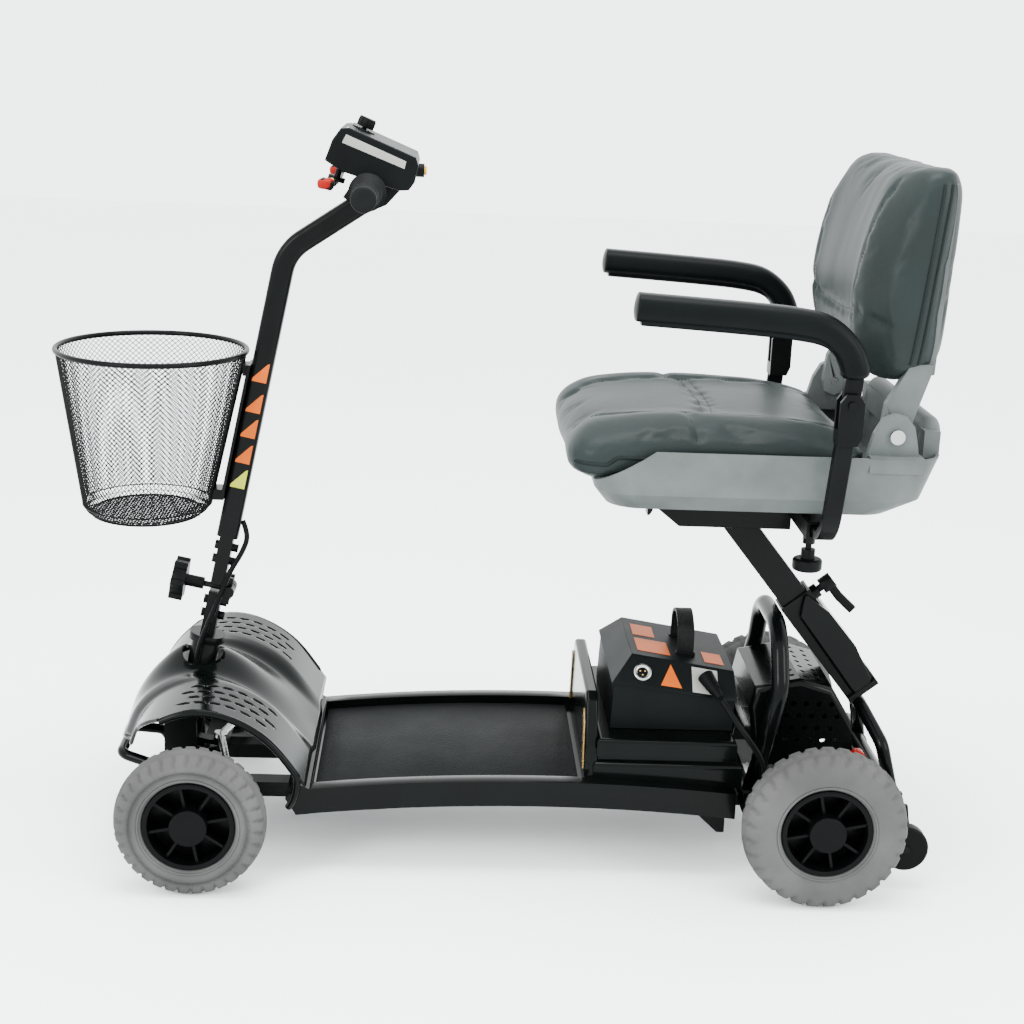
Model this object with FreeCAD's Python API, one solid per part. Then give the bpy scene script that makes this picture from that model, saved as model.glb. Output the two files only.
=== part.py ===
"""Four-wheel mobility scooter, one STEP file per sub-part.

Frame: +X forwards, +Y to the rider's left, +Z up, origin on the floor at the middle of the
object's box. Millimetres throughout.
"""
import FreeCAD, Part
import math
import os

V = FreeCAD.Vector
ORIGIN = V(0, 0, 0)
ACROSS = V(0, 1, 0)

# Driving dimensions
FRONT_AXLE_X = 370.0
WHEELBASE = 795.0
REAR_AXLE_X = FRONT_AXLE_X - WHEELBASE
FRONT_RADIUS = 95.0
REAR_RADIUS = 105.0
TYRE_WIDTH = 50.0
WHEEL_Y = 231.0
RIM_RADIUS = 57.0
HUB_HALF_WIDTH = 22.0
HUB_NOSE = 27.0

DECK_HALF_WIDTH = 170.0
DECK_FRONT_X = 229.0
DECK_REAR_X = -322.0
DECK_MIDDLE_X = -40.0
DECK_FRONT_Z = 114.0
DECK_MIDDLE_Z = 131.0
DECK_REAR_Z = 120.0
MAT_THICKNESS = 4.0
MAT_RECESS = 14.0
DECK_PLATE = 4.0

RAKE = 11.1                       # steering axis leans back by this many degrees
STEM_BASE = V(378.5, 0, 257)      # on the steering axis, at the collar
KINGPIN_Y = 184.0
STEER_ARM = 45.0
RUN = 0.05                        # radial running clearance of a shaft in its bore

POST_LEAN = 39.1                  # seat post leans forwards by this many degrees
POST_TOP = V(-408, 0, 340)        # on the post's centre line, at the sleeve's mouth
POST_WIDTH = 38.0
SLEEVE_WALL = 4.0
SLEEVE_LENGTH = 165.0

HINGE = V(-479, 0, 603.5)         # backrest hinge line
ARM_PIVOT = V(-410, 0, 649)
ARM_Y = 227.0
BAR_Y = 236.0
RECEIVER = V(-397, 0, 480)

HANDLEBAR = V(171, 0, 864)


# ---------------------------------------------------------------- helpers

def box(x_range, y_range, z_range):
    """Block between two values on each axis."""
    size = [high - low for low, high in (x_range, y_range, z_range)]
    return Part.makeBox(*size, V(x_range[0], y_range[0], z_range[0]))


def rod(start, end, radius):
    """Solid round bar from start to end."""
    return Part.makeCylinder(radius, (end - start).Length, start, end - start)


def tube(start, end, outer, inner):
    """Round tube from start to end."""
    return rod(start, end, outer).cut(rod(start, end, inner))


def prism(outline, y_low, y_high):
    """Straight-sided outline in XZ, carried from y_low to y_high."""
    loop = [V(x, y_low, z) for x, z in outline]
    return Part.Face(Part.makePolygon(loop + loop[:1])).extrude(V(0, y_high - y_low, 0))


def plan_prism(outline, x_low, x_high):
    """Straight-sided outline in YZ, carried from x_low to x_high."""
    loop = [V(x_low, y, z) for y, z in outline]
    return Part.Face(Part.makePolygon(loop + loop[:1])).extrude(V(x_high - x_low, 0, 0))


def spline(points):
    """Smooth edge through the points."""
    curve = Part.BSplineCurve()
    curve.interpolate(points)
    return curve.toShape()


def rounded_path(points, radius):
    """Straight runs joined by tangent arcs of one radius, or the largest that fits."""
    edges = []
    start = points[0]
    for before, corner, after in zip(points, points[1:], points[2:]):
        back = (before - corner).normalize()
        ahead = (after - corner).normalize()
        half = (math.pi - back.getAngle(ahead)) / 2
        room = 0.45 * min((before - corner).Length, (after - corner).Length)
        set_back = min(radius * math.tan(half), room)
        arc_radius = set_back / math.tan(half)
        enter = corner + back * set_back
        leave = corner + ahead * set_back
        to_centre = (back + ahead).normalize()
        centre = corner + to_centre * (arc_radius / math.cos(half))
        middle = centre - to_centre * arc_radius
        edges.append(Part.LineSegment(start, enter).toShape())
        edges.append(Part.Arc(enter, middle, leave).toShape())
        start = leave
    edges.append(Part.LineSegment(start, points[-1]).toShape())
    return Part.Wire(edges)


def swept_rod(points, bend, radius):
    """Round bar along a path with bends."""
    path = rounded_path(points, bend)
    circle = Part.Circle(points[0], points[1] - points[0], radius).toShape()
    return path.makePipeShell([Part.Wire([circle])], True, False)


def swept_bar(points, bend, across, up, corner):
    """Bar of rounded rectangular section along a path with bends in one plane.

    across and up are the section's side vectors at the start of the path.
    """
    start = points[0]
    corners = [start - across * 0.5 - up * 0.5, start + across * 0.5 - up * 0.5,
               start + across * 0.5 + up * 0.5, start - across * 0.5 + up * 0.5]
    loop = rounded_loop(corners, corner)
    return rounded_path(points, bend).makePipeShell([loop], True, False)


def rounded_loop(corners, radius):
    """Closed polygon with each corner rounded."""
    edges = []
    count = len(corners)
    ends = []
    for index, corner in enumerate(corners):
        back = (corners[index - 1] - corner).normalize()
        ahead = (corners[(index + 1) % count] - corner).normalize()
        half = (math.pi - back.getAngle(ahead)) / 2
        enter = corner + back * (radius * math.tan(half))
        leave = corner + ahead * (radius * math.tan(half))
        to_centre = (back + ahead).normalize()
        middle = corner + to_centre * (radius / math.cos(half) - radius)
        ends.append((enter, leave))
        edges.append(Part.Arc(enter, middle, leave).toShape())
    for index in range(count):
        edges.append(Part.LineSegment(ends[index - 1][1], ends[index][0]).toShape())
    return Part.Wire(Part.__sortEdges__(edges))


def mirrored(shape):
    """The same shape on the other side of the middle plane."""
    return shape.mirror(ORIGIN, ACROSS)


def both_sides(shape):
    """A left-hand shape and its mirror image as one group."""
    return Part.makeCompound([shape, mirrored(shape)])


def fused(first, *others):
    """Join shapes into one clean solid."""
    return first.fuse(list(others)).removeSplitter()


def largest(shape):
    """The biggest solid of a shape that a cut has divided."""
    return max(shape.Solids, key=lambda solid: solid.Volume)


def on_stem(shape):
    """Move a shape drawn about the origin, Z along the steering axis, on to that axis."""
    placed = shape.copy()
    placed.rotate(ORIGIN, ACROSS, -RAKE)
    placed.translate(STEM_BASE)
    return placed


def on_post(shape):
    """Move a shape drawn about the origin, Z up the seat post, on to the post."""
    placed = shape.copy()
    placed.rotate(ORIGIN, ACROSS, POST_LEAN)
    placed.translate(POST_TOP)
    return placed


# ---------------------------------------------------------------- deck and frame

def deck_arc(drop, x_front=DECK_FRONT_X, x_rear=DECK_REAR_X):
    """The deck's gentle arch, lowered by drop, from x_front back to x_rear."""
    rise = DECK_MIDDLE_Z - drop
    front = arch_height(x_front) - drop
    rear = arch_height(x_rear) - drop
    return V(x_front, 0, front), V(DECK_MIDDLE_X, 0, rise), V(x_rear, 0, rear)


def arch_height(x):
    """Height of the deck's rim at x: a parabola each side of its highest point."""
    if x > DECK_MIDDLE_X:
        share = (x - DECK_MIDDLE_X) / (DECK_FRONT_X - DECK_MIDDLE_X)
        return DECK_MIDDLE_Z - (DECK_MIDDLE_Z - DECK_FRONT_Z) * share ** 2
    share = (x - DECK_MIDDLE_X) / (DECK_REAR_X - DECK_MIDDLE_X)
    return DECK_MIDDLE_Z - (DECK_MIDDLE_Z - DECK_REAR_Z) * share ** 2


def arched_slab(top_drop, bottom_drop, x_front, x_rear, y_low, y_high):
    """Slab between two drops below the deck's arch."""
    top = Part.Arc(*deck_arc(top_drop, x_front, x_rear)).toShape()
    bottom = Part.Arc(*deck_arc(bottom_drop, x_front, x_rear)).toShape()
    ends = [Part.makeLine(top.Vertexes[i].Point, bottom.Vertexes[i].Point) for i in (0, 1)]
    face = Part.Face(Part.Wire(Part.__sortEdges__([top, bottom] + ends)))
    face.translate(V(0, y_low, 0))
    return face.extrude(V(0, y_high - y_low, 0))


def floor_pan():
    """Moulded deck with side skirts, a recess for the mat and a nose that meets the shroud."""
    width = DECK_HALF_WIDTH
    pan = arched_slab(0, 34, DECK_FRONT_X, DECK_REAR_X, -width, width)
    nose = prism([(DECK_FRONT_X - 2, 80), (244, 78), (258, 100), (242, 121), (DECK_FRONT_X - 2, 114)],
                 -width, width)
    pan = fused(pan, nose)
    hollow = arched_slab(MAT_RECESS + DECK_PLATE, 60, DECK_FRONT_X - 6, DECK_REAR_X + 5,
                         5 - width, width - 5)
    recess = arched_slab(-20, MAT_RECESS, DECK_FRONT_X - 4, -126, -148, 148)
    return pan.cut(hollow).cut(recess).cut(main_frame())


def deck_mat():
    """Rubber mat in the deck's recess."""
    mat = arched_slab(MAT_RECESS - MAT_THICKNESS, MAT_RECESS, DECK_FRONT_X - 4, -126, -143, 143)
    return mat.common(box((-120, DECK_FRONT_X - 7), (-150, 150), (60, 160)))


def main_frame():
    """Welded steel frame: two rails, cross tubes, rear side plates and anti-tip arms."""
    rail = arched_slab(MAT_RECESS + DECK_PLATE + 0.5, 36, 215, DECK_REAR_X - 18, 52, 80)
    front = box((205, 432), (52, 80), (64, 84))
    cross = rod(V(-345, -150, 93), V(-345, 150, 93), 12)
    tail = rod(V(-536, -166, 100), V(-536, 166, 100), 11)
    plate = prism([(-338, 80), (-338, 106), (-398, 130), (-452, 130), (-548, 112), (-548, 88),
                   (-452, 80)], 126, 134)
    axle_hole = rod(V(REAR_AXLE_X, 100, REAR_RADIUS), V(REAR_AXLE_X, 160, REAR_RADIUS), 18.3)
    arm = prism([(-524, 108), (-548, 108), (-556, 57), (-552, 46), (-538, 46), (-532, 57)], 158, 164)
    stub = rod(V(-544, 164, 57), V(-544, 190, 57), 5)
    stay = prism([(-306, 86), (-262, 86), (-308, 44), (-318, 44), (-318, 86)], 112, 118)
    side = fused(rail, front, plate.cut(axle_hole), arm, stub, stay)
    ties = [box((x - 9, x + 9), (-60, 60), (68, 82)) for x in (232, 420)]
    ties.append(box((-270, -250), (-60, 60), (90, 104)))
    link = box((-345, -300), (80, 120), (84, 98))
    return fused(side, mirrored(side), cross, tail, link, mirrored(link), *ties)


def front_bumper():
    """Flattened bar that wraps around the nose."""
    points = [V(432, 66, 74), V(446, 62, 100), V(486, 50, 108), V(486, -50, 108),
              V(446, -62, 100), V(432, -66, 74)]
    return swept_rod(points, 16, 7).cut(box((400, 432), (-90, 90), (60, 90)))


def front_axle_beam():
    """Steering head and axle beam in one welding, with a boss for each kingpin."""
    head = on_stem(tube(V(0, 0, -132), V(0, 0, -3), 19, 12 + RUN))
    beam = box((355, 385), (-166, 166), (84, 102))
    cheek = prism([(386, 84), (430, 84), (430, 150), (412, 190), (388, 190)], 36, 42)
    bridge = on_stem(box((-12, 12), (-42, 42), (-106, -70)))
    bridge = bridge.cut(on_stem(rod(V(0, 0, -140), V(0, 0, 0), 18.9)))
    foot = box((380, 430), (-42, 42), (84, 90))
    shape = fused(head, beam, cheek, mirrored(cheek), bridge, foot)
    shape = shape.cut(on_stem(rod(V(0, 0, -180), V(0, 0, -133), 34)))
    for side in (-1, 1):
        pivot = V(FRONT_AXLE_X, side * KINGPIN_Y, FRONT_RADIUS)
        boss = Part.makeCylinder(12, 22, V(0, 0, -11))
        neck = box((-9, 9), (-20 if side > 0 else 0, 0 if side > 0 else 20), (-9, 7))
        bore = Part.makeCylinder(6 + RUN, 40, V(0, 0, -20))
        local = boss.fuse(neck)
        for item in (local, bore):
            item.rotate(ORIGIN, ACROSS, -RAKE)
            item.translate(pivot)
        shape = fused(shape, local).cut(bore)
    return shape


# ---------------------------------------------------------------- front shroud

SHROUD_WALL = 3.0
SHROUD_NOSE = (
    # distance from the middle plane, then the outer curve from the nose back to the deck
    (0, ((487, 128), (470, 178), (441, 219), (402, 247), (350, 238), (298, 200), (226, 125))),
    (60, ((482, 136), (463, 180), (432, 210), (392, 225), (345, 219), (293, 190), (226, 127))),
)
FENDER_START = 95.0
FENDER_END = 202.0
FENDER_CURVE = ((464, 148), (447, 188), (415, 215), (372, 229), (325, 222), (276, 192), (229, 132))
FENDER_LIP = 8.0
SHROUD_STEPS = 12
VENT_LENGTH = 13.0
VENT_WIDTH = 4.5


def evened(points):
    """The smooth curve through the points, as evenly spaced points."""
    curve = spline([V(x, 0, z) for x, z in points])
    return [(p.x, p.z) for p in curve.discretize(SHROUD_STEPS)]


def inset(points, depth):
    """Points moved towards the inside of a curve that runs from the nose backwards."""
    moved = []
    for index, (x, z) in enumerate(points):
        before = points[max(index - 1, 0)]
        after = points[min(index + 1, len(points) - 1)]
        along = V(after[0] - before[0], 0, after[1] - before[1]).normalize()
        moved.append((x - along.z * depth, z + along.x * depth))
    return moved


def shroud_section(y, outer, depth):
    """Closed thin section of the shroud at one distance from the middle plane."""
    loop = [V(x, y, z) for x, z in outer + inset(outer, depth)[::-1]]
    return Part.makePolygon(loop + loop[:1])


def vent_slot(x, y):
    """Upright slot cutter, longest fore and aft."""
    half = (VENT_LENGTH - VENT_WIDTH) / 2
    parts = [Part.makeCylinder(VENT_WIDTH / 2, 130, V(x + end * half, y, 140)) for end in (-1, 1)]
    middle = box((x - half, x + half), (y - VENT_WIDTH / 2, y + VENT_WIDTH / 2), (140, 270))
    return parts[0].fuse([parts[1], middle])


def fender():
    """Arched fender over the left front wheel, with its lip and vent slots."""
    outer = evened(FENDER_CURVE)
    arch = Part.Face(shroud_section(FENDER_START, outer, SHROUD_WALL))
    lip = Part.Face(shroud_section(FENDER_END - 5, outer, FENDER_LIP))
    shape = arch.extrude(V(0, FENDER_END - FENDER_START, 0)).fuse(lip.extrude(V(0, 5, 0)))
    nose_plan = [V(500, FENDER_START - 1, 0), V(466, FENDER_START + 20, 0), V(440, 168, 0), V(411, 204, 0),
                 V(500, 204, 0)]
    ahead = Part.Face(Part.makePolygon(nose_plan + nose_plan[:1])).extrude(V(0, 0, 300))
    slots = []
    for row in range(6):
        for column in range(4):
            slots.append(vent_slot(280 + row * 19 + (column % 2) * 9.5, 112 + column * 20))
    return shape.cut(ahead).cut(Part.makeCompound(slots)).removeSplitter()


def front_shroud():
    """Thin front fairing over both front wheels, with a stem hole and two vent fields."""
    stations = SHROUD_NOSE + ((FENDER_START, FENDER_CURVE),)
    left = [shroud_section(y, evened(outer), SHROUD_WALL) for y, outer in stations]
    right = [mirrored(section) for section in left[:0:-1]]
    nose = Part.makeLoft(right + left, True, True)
    hole = rod(V(0, -13, -60), V(0, -13, 60), 27)
    hole = hole.fuse([rod(V(0, 13, -60), V(0, 13, 60), 27), box((-27, 27), (-13, 13), (-60, 60))])
    side = fender()
    return nose.cut(on_stem(hole)).fuse([side, mirrored(side)])


# ---------------------------------------------------------------- battery and its tray

TUB_FRONT_X = -162.0
TUB_REAR_X = -322.0
TUB_HALF_WIDTH = 106.0
LID_FRONT_Z = 246.0
LID_REAR_Z = 225.0
TRAY_TOP_Z = 182.0


def battery_tray():
    """Two-step moulded plinth with an upright front wall, hollow underneath."""
    lower = box((-331, -137), (-150, 150), (110, 152))
    neck = box((-324, -143), (-141, 141), (151, 160))
    upper = box((-323, -141), (-146, 146), (159, TRAY_TOP_Z))
    lower = lower.makeFillet(7, [e for e in lower.Edges if e.BoundBox.ZMin > 151])
    upper = upper.makeFillet(6, [e for e in upper.Edges if e.BoundBox.ZMin > TRAY_TOP_Z - 1])
    wall = plan_prism([(-147, 125), (147, 125), (140, 170), (118, 224), (106, 234),
                       (-106, 234), (-118, 224), (-140, 170)], -142, -126)
    wall = wall.makeFillet(4, [e for e in wall.Edges if e.BoundBox.ZMin > 160])
    tray = fused(lower, neck, upper, wall)
    cavity = box((-316, -150), (-132, 132), (100, 172))
    outside = arched_slab(0, 60, DECK_FRONT_X, DECK_REAR_X, -DECK_HALF_WIDTH, DECK_HALF_WIDTH)
    below = box((-340, DECK_REAR_X), (-160, 160), (100, 121))
    return tray.cut(cavity).cut(outside).cut(below)


def controller():
    """Finned control box under the tray."""
    body = box((-292, -172), (-50, 50), (131, 158))
    fins = [box((-292, -172), (y - 2, y + 2), (158, 166)) for y in range(-40, 41, 16)]
    return fused(body, *fins)


def tub_roof(x):
    """Height of the joint between battery tub and lid at x."""
    share = (x - TUB_FRONT_X) / (TUB_REAR_X - TUB_FRONT_X)
    return LID_FRONT_Z + (LID_REAR_Z - LID_FRONT_Z) * share


def battery_tub():
    """Open-topped lower half of the battery case."""
    def block(gap, floor):
        front, rear = TUB_FRONT_X - gap, TUB_REAR_X + gap
        top = 40 if gap else 0
        return prism([(front + 3, floor), (front, tub_roof(front) + top),
                      (rear, tub_roof(rear) + top), (rear, floor)],
                     gap - TUB_HALF_WIDTH, TUB_HALF_WIDTH - gap)
    base = TRAY_TOP_Z + 0.5
    return block(0, base).cut(block(3, base + 3))


def lid_block(gap):
    """Solid outline of the lid, drawn in by gap on the sides and top."""
    front, rear, edge = TUB_FRONT_X + 3 - gap, TUB_REAR_X - 3 + gap, 110 - gap
    low = [V(front, -edge, tub_roof(front)), V(front, edge, tub_roof(front)),
           V(rear, edge, tub_roof(rear)), V(rear, -edge, tub_roof(rear))]
    front, rear, edge = -187 - gap, -323 + gap, 78 - gap
    high = [V(front, -edge, lid_top(front) - gap), V(front, edge, lid_top(front) - gap),
            V(rear, edge, lid_top(rear) - gap), V(rear, -edge, lid_top(rear) - gap)]
    return Part.makeLoft([Part.makePolygon(loop + loop[:1]) for loop in (low, high)], True, True)


def battery_lid():
    """Upper half of the battery case, with sloping sides."""
    return lid_block(0).cut(lid_block(3))


def battery_handle():
    """Ribbed carrying strap that arches across the lid."""
    foot = lid_top(-262) - 2
    path = [V(-262, 42, foot + 2), V(-262, 38, foot + 52), V(-262, -30, foot + 52), V(-262, -34, foot + 2)]
    strap = swept_bar(path, 20, V(22, 0, 0), V(0, 5, 0), 1.5)
    roof = prism([(-187, 277), (-323, 256), (-323, 200), (-187, 200)], -60, 60)
    return strap.cut(roof)


def lid_top(x):
    """Height of the lid's top face at x."""
    return 277 + (x + 187) * 21 / 136


def battery_cells():
    """Two sealed blocks side by side in the tub."""
    return both_sides(box((-314, -172), (3, 93), (TRAY_TOP_Z + 4, 234)))


PLUG_START = V(-286, 97, 250)
PLUG_END = V(-302, 128, 232)
LEAD_ROUTE = (PLUG_END, V(-315, 143, 215), V(-333, 150, 192), V(-352, 146, 166), V(-362, 136, 140),
              V(-360, 128, 118))
LEAD_RADIUS = 4.0


def lead_plug():
    """Tapered plug in the side of the battery lid."""
    along = (PLUG_END - PLUG_START).normalize()
    body = Part.makeCone(11, 8, 26, PLUG_START - along * 6, along)
    sleeve = Part.makeCone(7, LEAD_RADIUS + 1, 14, PLUG_START + along * 20, along)
    shape = fused(body, sleeve)
    shape = shape.cut(Part.makeCylinder(20, 60, PLUG_END, along))
    return shape.cut(lid_block(0))


def battery_lead():
    """Lead from the plug down to the chassis."""
    lead = swept_rod(list(LEAD_ROUTE), 60, LEAD_RADIUS)
    return lead


# ---------------------------------------------------------------- rear: hoop, post, drive

def rear_hoop():
    """Upright hoop between battery and seat post."""
    points = [V(-350, 110, 96), V(-382, 102, 240), V(-381, 66, 315),
              V(-381, -66, 315), V(-382, -102, 240), V(-350, -110, 96)]
    hoop = swept_rod(points, 58, 12)
    return hoop.cut(rod(V(-345, -160, 93), V(-345, 160, 93), 12))


def rear_arch():
    """Bent tube that ties the foot of the post sleeve to the tail of the frame."""
    points = [V(-540, 98, 106), V(-528, 82, 160), V(-506, 34, 198),
              V(-506, -34, 198), V(-528, -82, 160), V(-540, -98, 106)]
    arch = swept_rod(points, 30, 9)
    sleeve = POST_WIDTH / 2 + SLEEVE_WALL + 0.5
    block = on_post(box((-sleeve, sleeve), (-sleeve, sleeve), (-SLEEVE_LENGTH, 0)))
    foot = on_post(box((-sleeve, sleeve), (-sleeve - 6, sleeve + 6), (-SLEEVE_LENGTH, 8.5 - SLEEVE_LENGTH)))
    return arch.cut(block).cut(foot).cut(rod(V(-536, -166, 100), V(-536, 166, 100), 11))


def post_sleeve():
    """Square outer sleeve of the seat post, with a boss for the clamp screw."""
    inner = POST_WIDTH / 2 + 0.4
    outer = inner + SLEEVE_WALL
    sleeve = box((-outer, outer), (-outer, outer), (-SLEEVE_LENGTH, 0))
    foot = box((-outer, outer), (-outer - 6, outer + 6), (-SLEEVE_LENGTH, 8 - SLEEVE_LENGTH))
    boss = rod(V(-outer + 1, 0, -15), V(-outer - 9, 0, -15), 10)
    shape = fused(sleeve, boss, foot)
    bore = box((-inner, inner), (-inner, inner), (5 - SLEEVE_LENGTH, 5))
    screw = rod(V(-inner + 2, 0, -15), V(-outer - 12, 0, -15), 5 + RUN)
    return on_post(shape.cut(bore).cut(screw))


def post_cover():
    """Plastic cover over the back and sides of the sleeve."""
    outer = prism([(-420, 350), (-454, 326), (-494, 279), (-522, 226), (-525, 207), (-515, 196),
                   (-492, 216), (-452, 268), (-415, 316)], -31, 31)
    half = POST_WIDTH / 2 + SLEEVE_WALL + 0.9
    room = on_post(box((-half, 80), (-half, half), (-SLEEVE_LENGTH - 20, 30)))
    foot = on_post(box((-30, 80), (-31, 31), (-SLEEVE_LENGTH - 30, 9 - SLEEVE_LENGTH)))
    boss = on_post(rod(V(-10, 0, -15), V(-60, 0, -15), 13))
    return outer.cut(room).cut(foot).cut(boss)


def seat_clamp_lever():
    """Screw, head and handle that pinch the inner post."""
    face = POST_WIDTH / 2 + 0.6
    screw = rod(V(-face, 0, -15), V(-42, 0, -15), 5)
    head = rod(V(-38, 0, -15), V(-56, 0, -15), 11)
    handle = swept_bar([V(-49, 0, -15), V(-49, 0, -40), V(-53, 0, -66)], 20,
                       V(12, 0, 0), V(0, 13, 0), 3)
    return on_post(fused(screw, head, handle))


COVER_OUTLINE = ((-353, 236), (-347, 205), (-355, 150), (-368, 128), (-490, 128), (-484, 191),
                 (-456, 236), (-412, 248))


def motor_cover():
    """Perforated cover over the motor, open underneath."""
    outer = prism(COVER_OUTLINE, -84, 84)
    outer = outer.makeFillet(8, [e for e in outer.Edges if e.BoundBox.YLength < 1 and e.BoundBox.ZMin > 129])
    inner = prism([(-357, 233), (-351, 205), (-359, 150), (-371, 120), (-486, 120), (-480, 190),
                   (-453, 233), (-412, 244)], -80, 80)
    cover = outer.cut(inner)
    holes = []
    for row in range(4):
        for column in range(5):
            x = -464 + column * 17 + (row % 2) * 8.5
            z = 164 + row * 17
            holes.append(rod(V(x, -90, z), V(x, 90, z), 3.6))
    for row in range(3):
        for column in range(7):
            y = -60 + column * 20
            holes.append(rod(V(-440 + row * 18, y, 220), V(-440 + row * 18, y, 260), 3.6))
    return cover.cut(Part.makeCompound(holes))


def transaxle():
    """Gear housing with an axle tube each side."""
    axle = V(REAR_AXLE_X, 0, REAR_RADIUS)
    housing = rod(axle - ACROSS * 56, axle + ACROSS * 56, 43)
    tubes = rod(axle - ACROSS * 150, axle + ACROSS * 150, 18)
    pad = box((-452, -400), (-40, 40), (140, 157))
    shape = fused(housing, tubes, pad)
    for side in (-1, 1):
        shape = shape.cut(rod(axle + ACROSS * (side * 70), axle + ACROSS * (side * 160), 9 + RUN))
    return shape


def drive_motor():
    """Motor across the frame, above the gear housing."""
    can = rod(V(-424, -62, 191), V(-424, 62, 191), 34)
    cap = rod(V(-424, 62, 191), V(-424, 74, 191), 22)
    return fused(can, cap)


def freewheel_lever():
    """Lever on a ring round the left axle tube that lets the motor go."""
    axle = V(REAR_AXLE_X, 0, REAR_RADIUS)
    ring = tube(axle + ACROSS * 92, axle + ACROSS * 100, 26, 18 + RUN)
    arm = prism([(-444, 126), (-440, 118), (-492, 142), (-494, 152)], 92, 100)
    knob = rod(V(-493, 90, 148), V(-493, 106, 148), 9)
    return fused(ring, arm, knob).cut(rod(axle + ACROSS * 80, axle + ACROSS * 110, 18 + RUN))


# ---------------------------------------------------------------- wheels

def tyre(centre, radius):
    """Puncture-proof tyre: a turned section with rounded shoulders."""
    half = TYRE_WIDTH / 2
    points = [(-18, RIM_RADIUS), (-half + 1, RIM_RADIUS + 9), (-half, radius - 22)]
    crown = Part.Arc(V(0, -half, radius - 22), V(0, -half * 0.72, radius - 6), V(0, -10, radius - 0.8))
    crown_mid = Part.Arc(V(0, -10, radius - 0.8), V(0, 0, radius), V(0, 10, radius - 0.8))
    crown_far = Part.Arc(V(0, 10, radius - 0.8), V(0, half * 0.72, radius - 6), V(0, half, radius - 22))
    side = [V(0, y, r) for y, r in points]
    far = [V(0, -y, r) for y, r in points]
    edges = [Part.makeLine(side[0], side[1]), Part.makeLine(side[1], side[2]), crown.toShape(),
             crown_mid.toShape(), crown_far.toShape(), Part.makeLine(far[2], far[1]),
             Part.makeLine(far[1], far[0]), Part.makeLine(far[0], side[0])]
    ring = Part.Face(Part.Wire(edges)).revolve(ORIGIN, ACROSS, 360)
    ring.translate(centre)
    return ring


def hub(centre, side, bore, shaft):
    """Spoked plastic hub. side is +1 on the left; a shaft length adds a drive shaft."""
    def span(start, end, radius):
        return rod(V(0, side * start, 0), V(0, side * end, 0), radius)
    rim = span(-HUB_HALF_WIDTH, HUB_HALF_WIDTH, RIM_RADIUS).cut(span(-40, 40, RIM_RADIUS - 6))
    web = span(-16, -10, RIM_RADIUS - 5)
    boss = span(-HUB_HALF_WIDTH, HUB_NOSE, 23)
    parts = [web, boss]
    for turn in range(8):
        blade = box((18, RIM_RADIUS - 5), (-14, 16), (-1.8, 1.8))
        if side < 0:
            blade = mirrored(blade)
        blade.rotate(ORIGIN, ACROSS, turn * 45 + 12)
        parts.append(blade)
    shape = fused(rim, *parts)
    if bore:
        shape = shape.cut(span(-40, HUB_NOSE - 6, bore))
    if shaft:
        shape = fused(shape, span(-HUB_HALF_WIDTH - shaft, -HUB_HALF_WIDTH, 9))
    shape.translate(centre)
    return shape


def anti_tip_wheel(side):
    """Small guard wheel behind the rear wheels."""
    centre = V(-544, side * 178, 57)
    ring = rod(centre - ACROSS * 11, centre + ACROSS * 11, 30)
    ring = ring.makeFillet(4, [e for e in ring.Edges if e.Length > 100])
    return ring.cut(rod(centre - ACROSS * 20, centre + ACROSS * 20, 5 + RUN))


# ---------------------------------------------------------------- steering

PIVOT_LEVEL = -157.3      # kingpin centre, measured along the steering axis from the collar
PIVOT_SET_BACK = -39.5    # kingpin centre behind the steering axis, measured square to it


def steering_column():
    """Shaft, drop arm, collar, lower bracket, hinge pin and eye bolt."""
    shaft = Part.makeCylinder(12, 150, V(0, 0, -146))
    arm = box((-STEER_ARM - 9, 6), (-9, 9), (PIVOT_LEVEL + 12, PIVOT_LEVEL + 18))
    arm = arm.cut(Part.makeCylinder(4 + RUN, 40, V(-STEER_ARM, 0, PIVOT_LEVEL)))
    collar = Part.makeCylinder(24, 10, V(0, 0, -2))
    block = box((-9, 9), (-14, 14), (7, 68))
    knuckle = tube(V(-17, 11.5, 74), V(-17, 20, 74), 7.5, 3.5)
    web = box((-20, -7), (11.5, 14), (56, 72)).cut(rod(V(-17, 0, 74), V(-17, 30, 74), 7.4))
    lower = fused(shaft, arm, collar, block, knuckle, mirrored(knuckle), web, mirrored(web))
    pin = rod(V(-17, -20, 74), V(-17, 20, 74), 3.5)
    eye = rod(V(-17, -5, 74), V(-17, 5, 74), 7).cut(rod(V(-17, -9, 74), V(-17, 9, 74), 3.5))
    eye = fused(eye, rod(V(-11, 0, 74), V(50, 0, 74), 4))
    eye = eye.cut(rod(V(-17, -9, 74), V(-17, 9, 74), 3.5))
    bolts = []
    for level in (35, 54):
        lower = lower.cut(rod(V(-30, 0, level), V(30, 0, level), 3.5))
        bolts.append(stem_bolt(level))
    return on_stem(Part.makeCompound([lower, pin, eye] + bolts))


def stem_bolt(level):
    """Cross bolt through the stem with a domed head and a nut."""
    shank = rod(V(-9, 0, level), V(9, 0, level), 3.5)
    head = rod(V(9, 0, level), V(14, 0, level), 6)
    nut = rod(V(-9, 0, level), V(-17, 0, level), 5.5)
    return fused(shank, head, nut)


def tiller_knob():
    """Lobed hand knob on the eye bolt."""
    disc = rod(V(42, 0, 74), V(60, 0, 74), 24)
    for turn in range(6):
        lobe = rod(V(42, 24, 74), V(60, 24, 74), 5.5)
        lobe.rotate(V(0, 0, 74), V(1, 0, 0), turn * 60)
        disc = disc.fuse(lobe)
    neck = rod(V(18, 0, 74), V(43, 0, 74), 8)
    knob = fused(disc, neck).cut(rod(V(10, 0, 74), V(52, 0, 74), 4 + RUN))
    return on_stem(knob)


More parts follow.
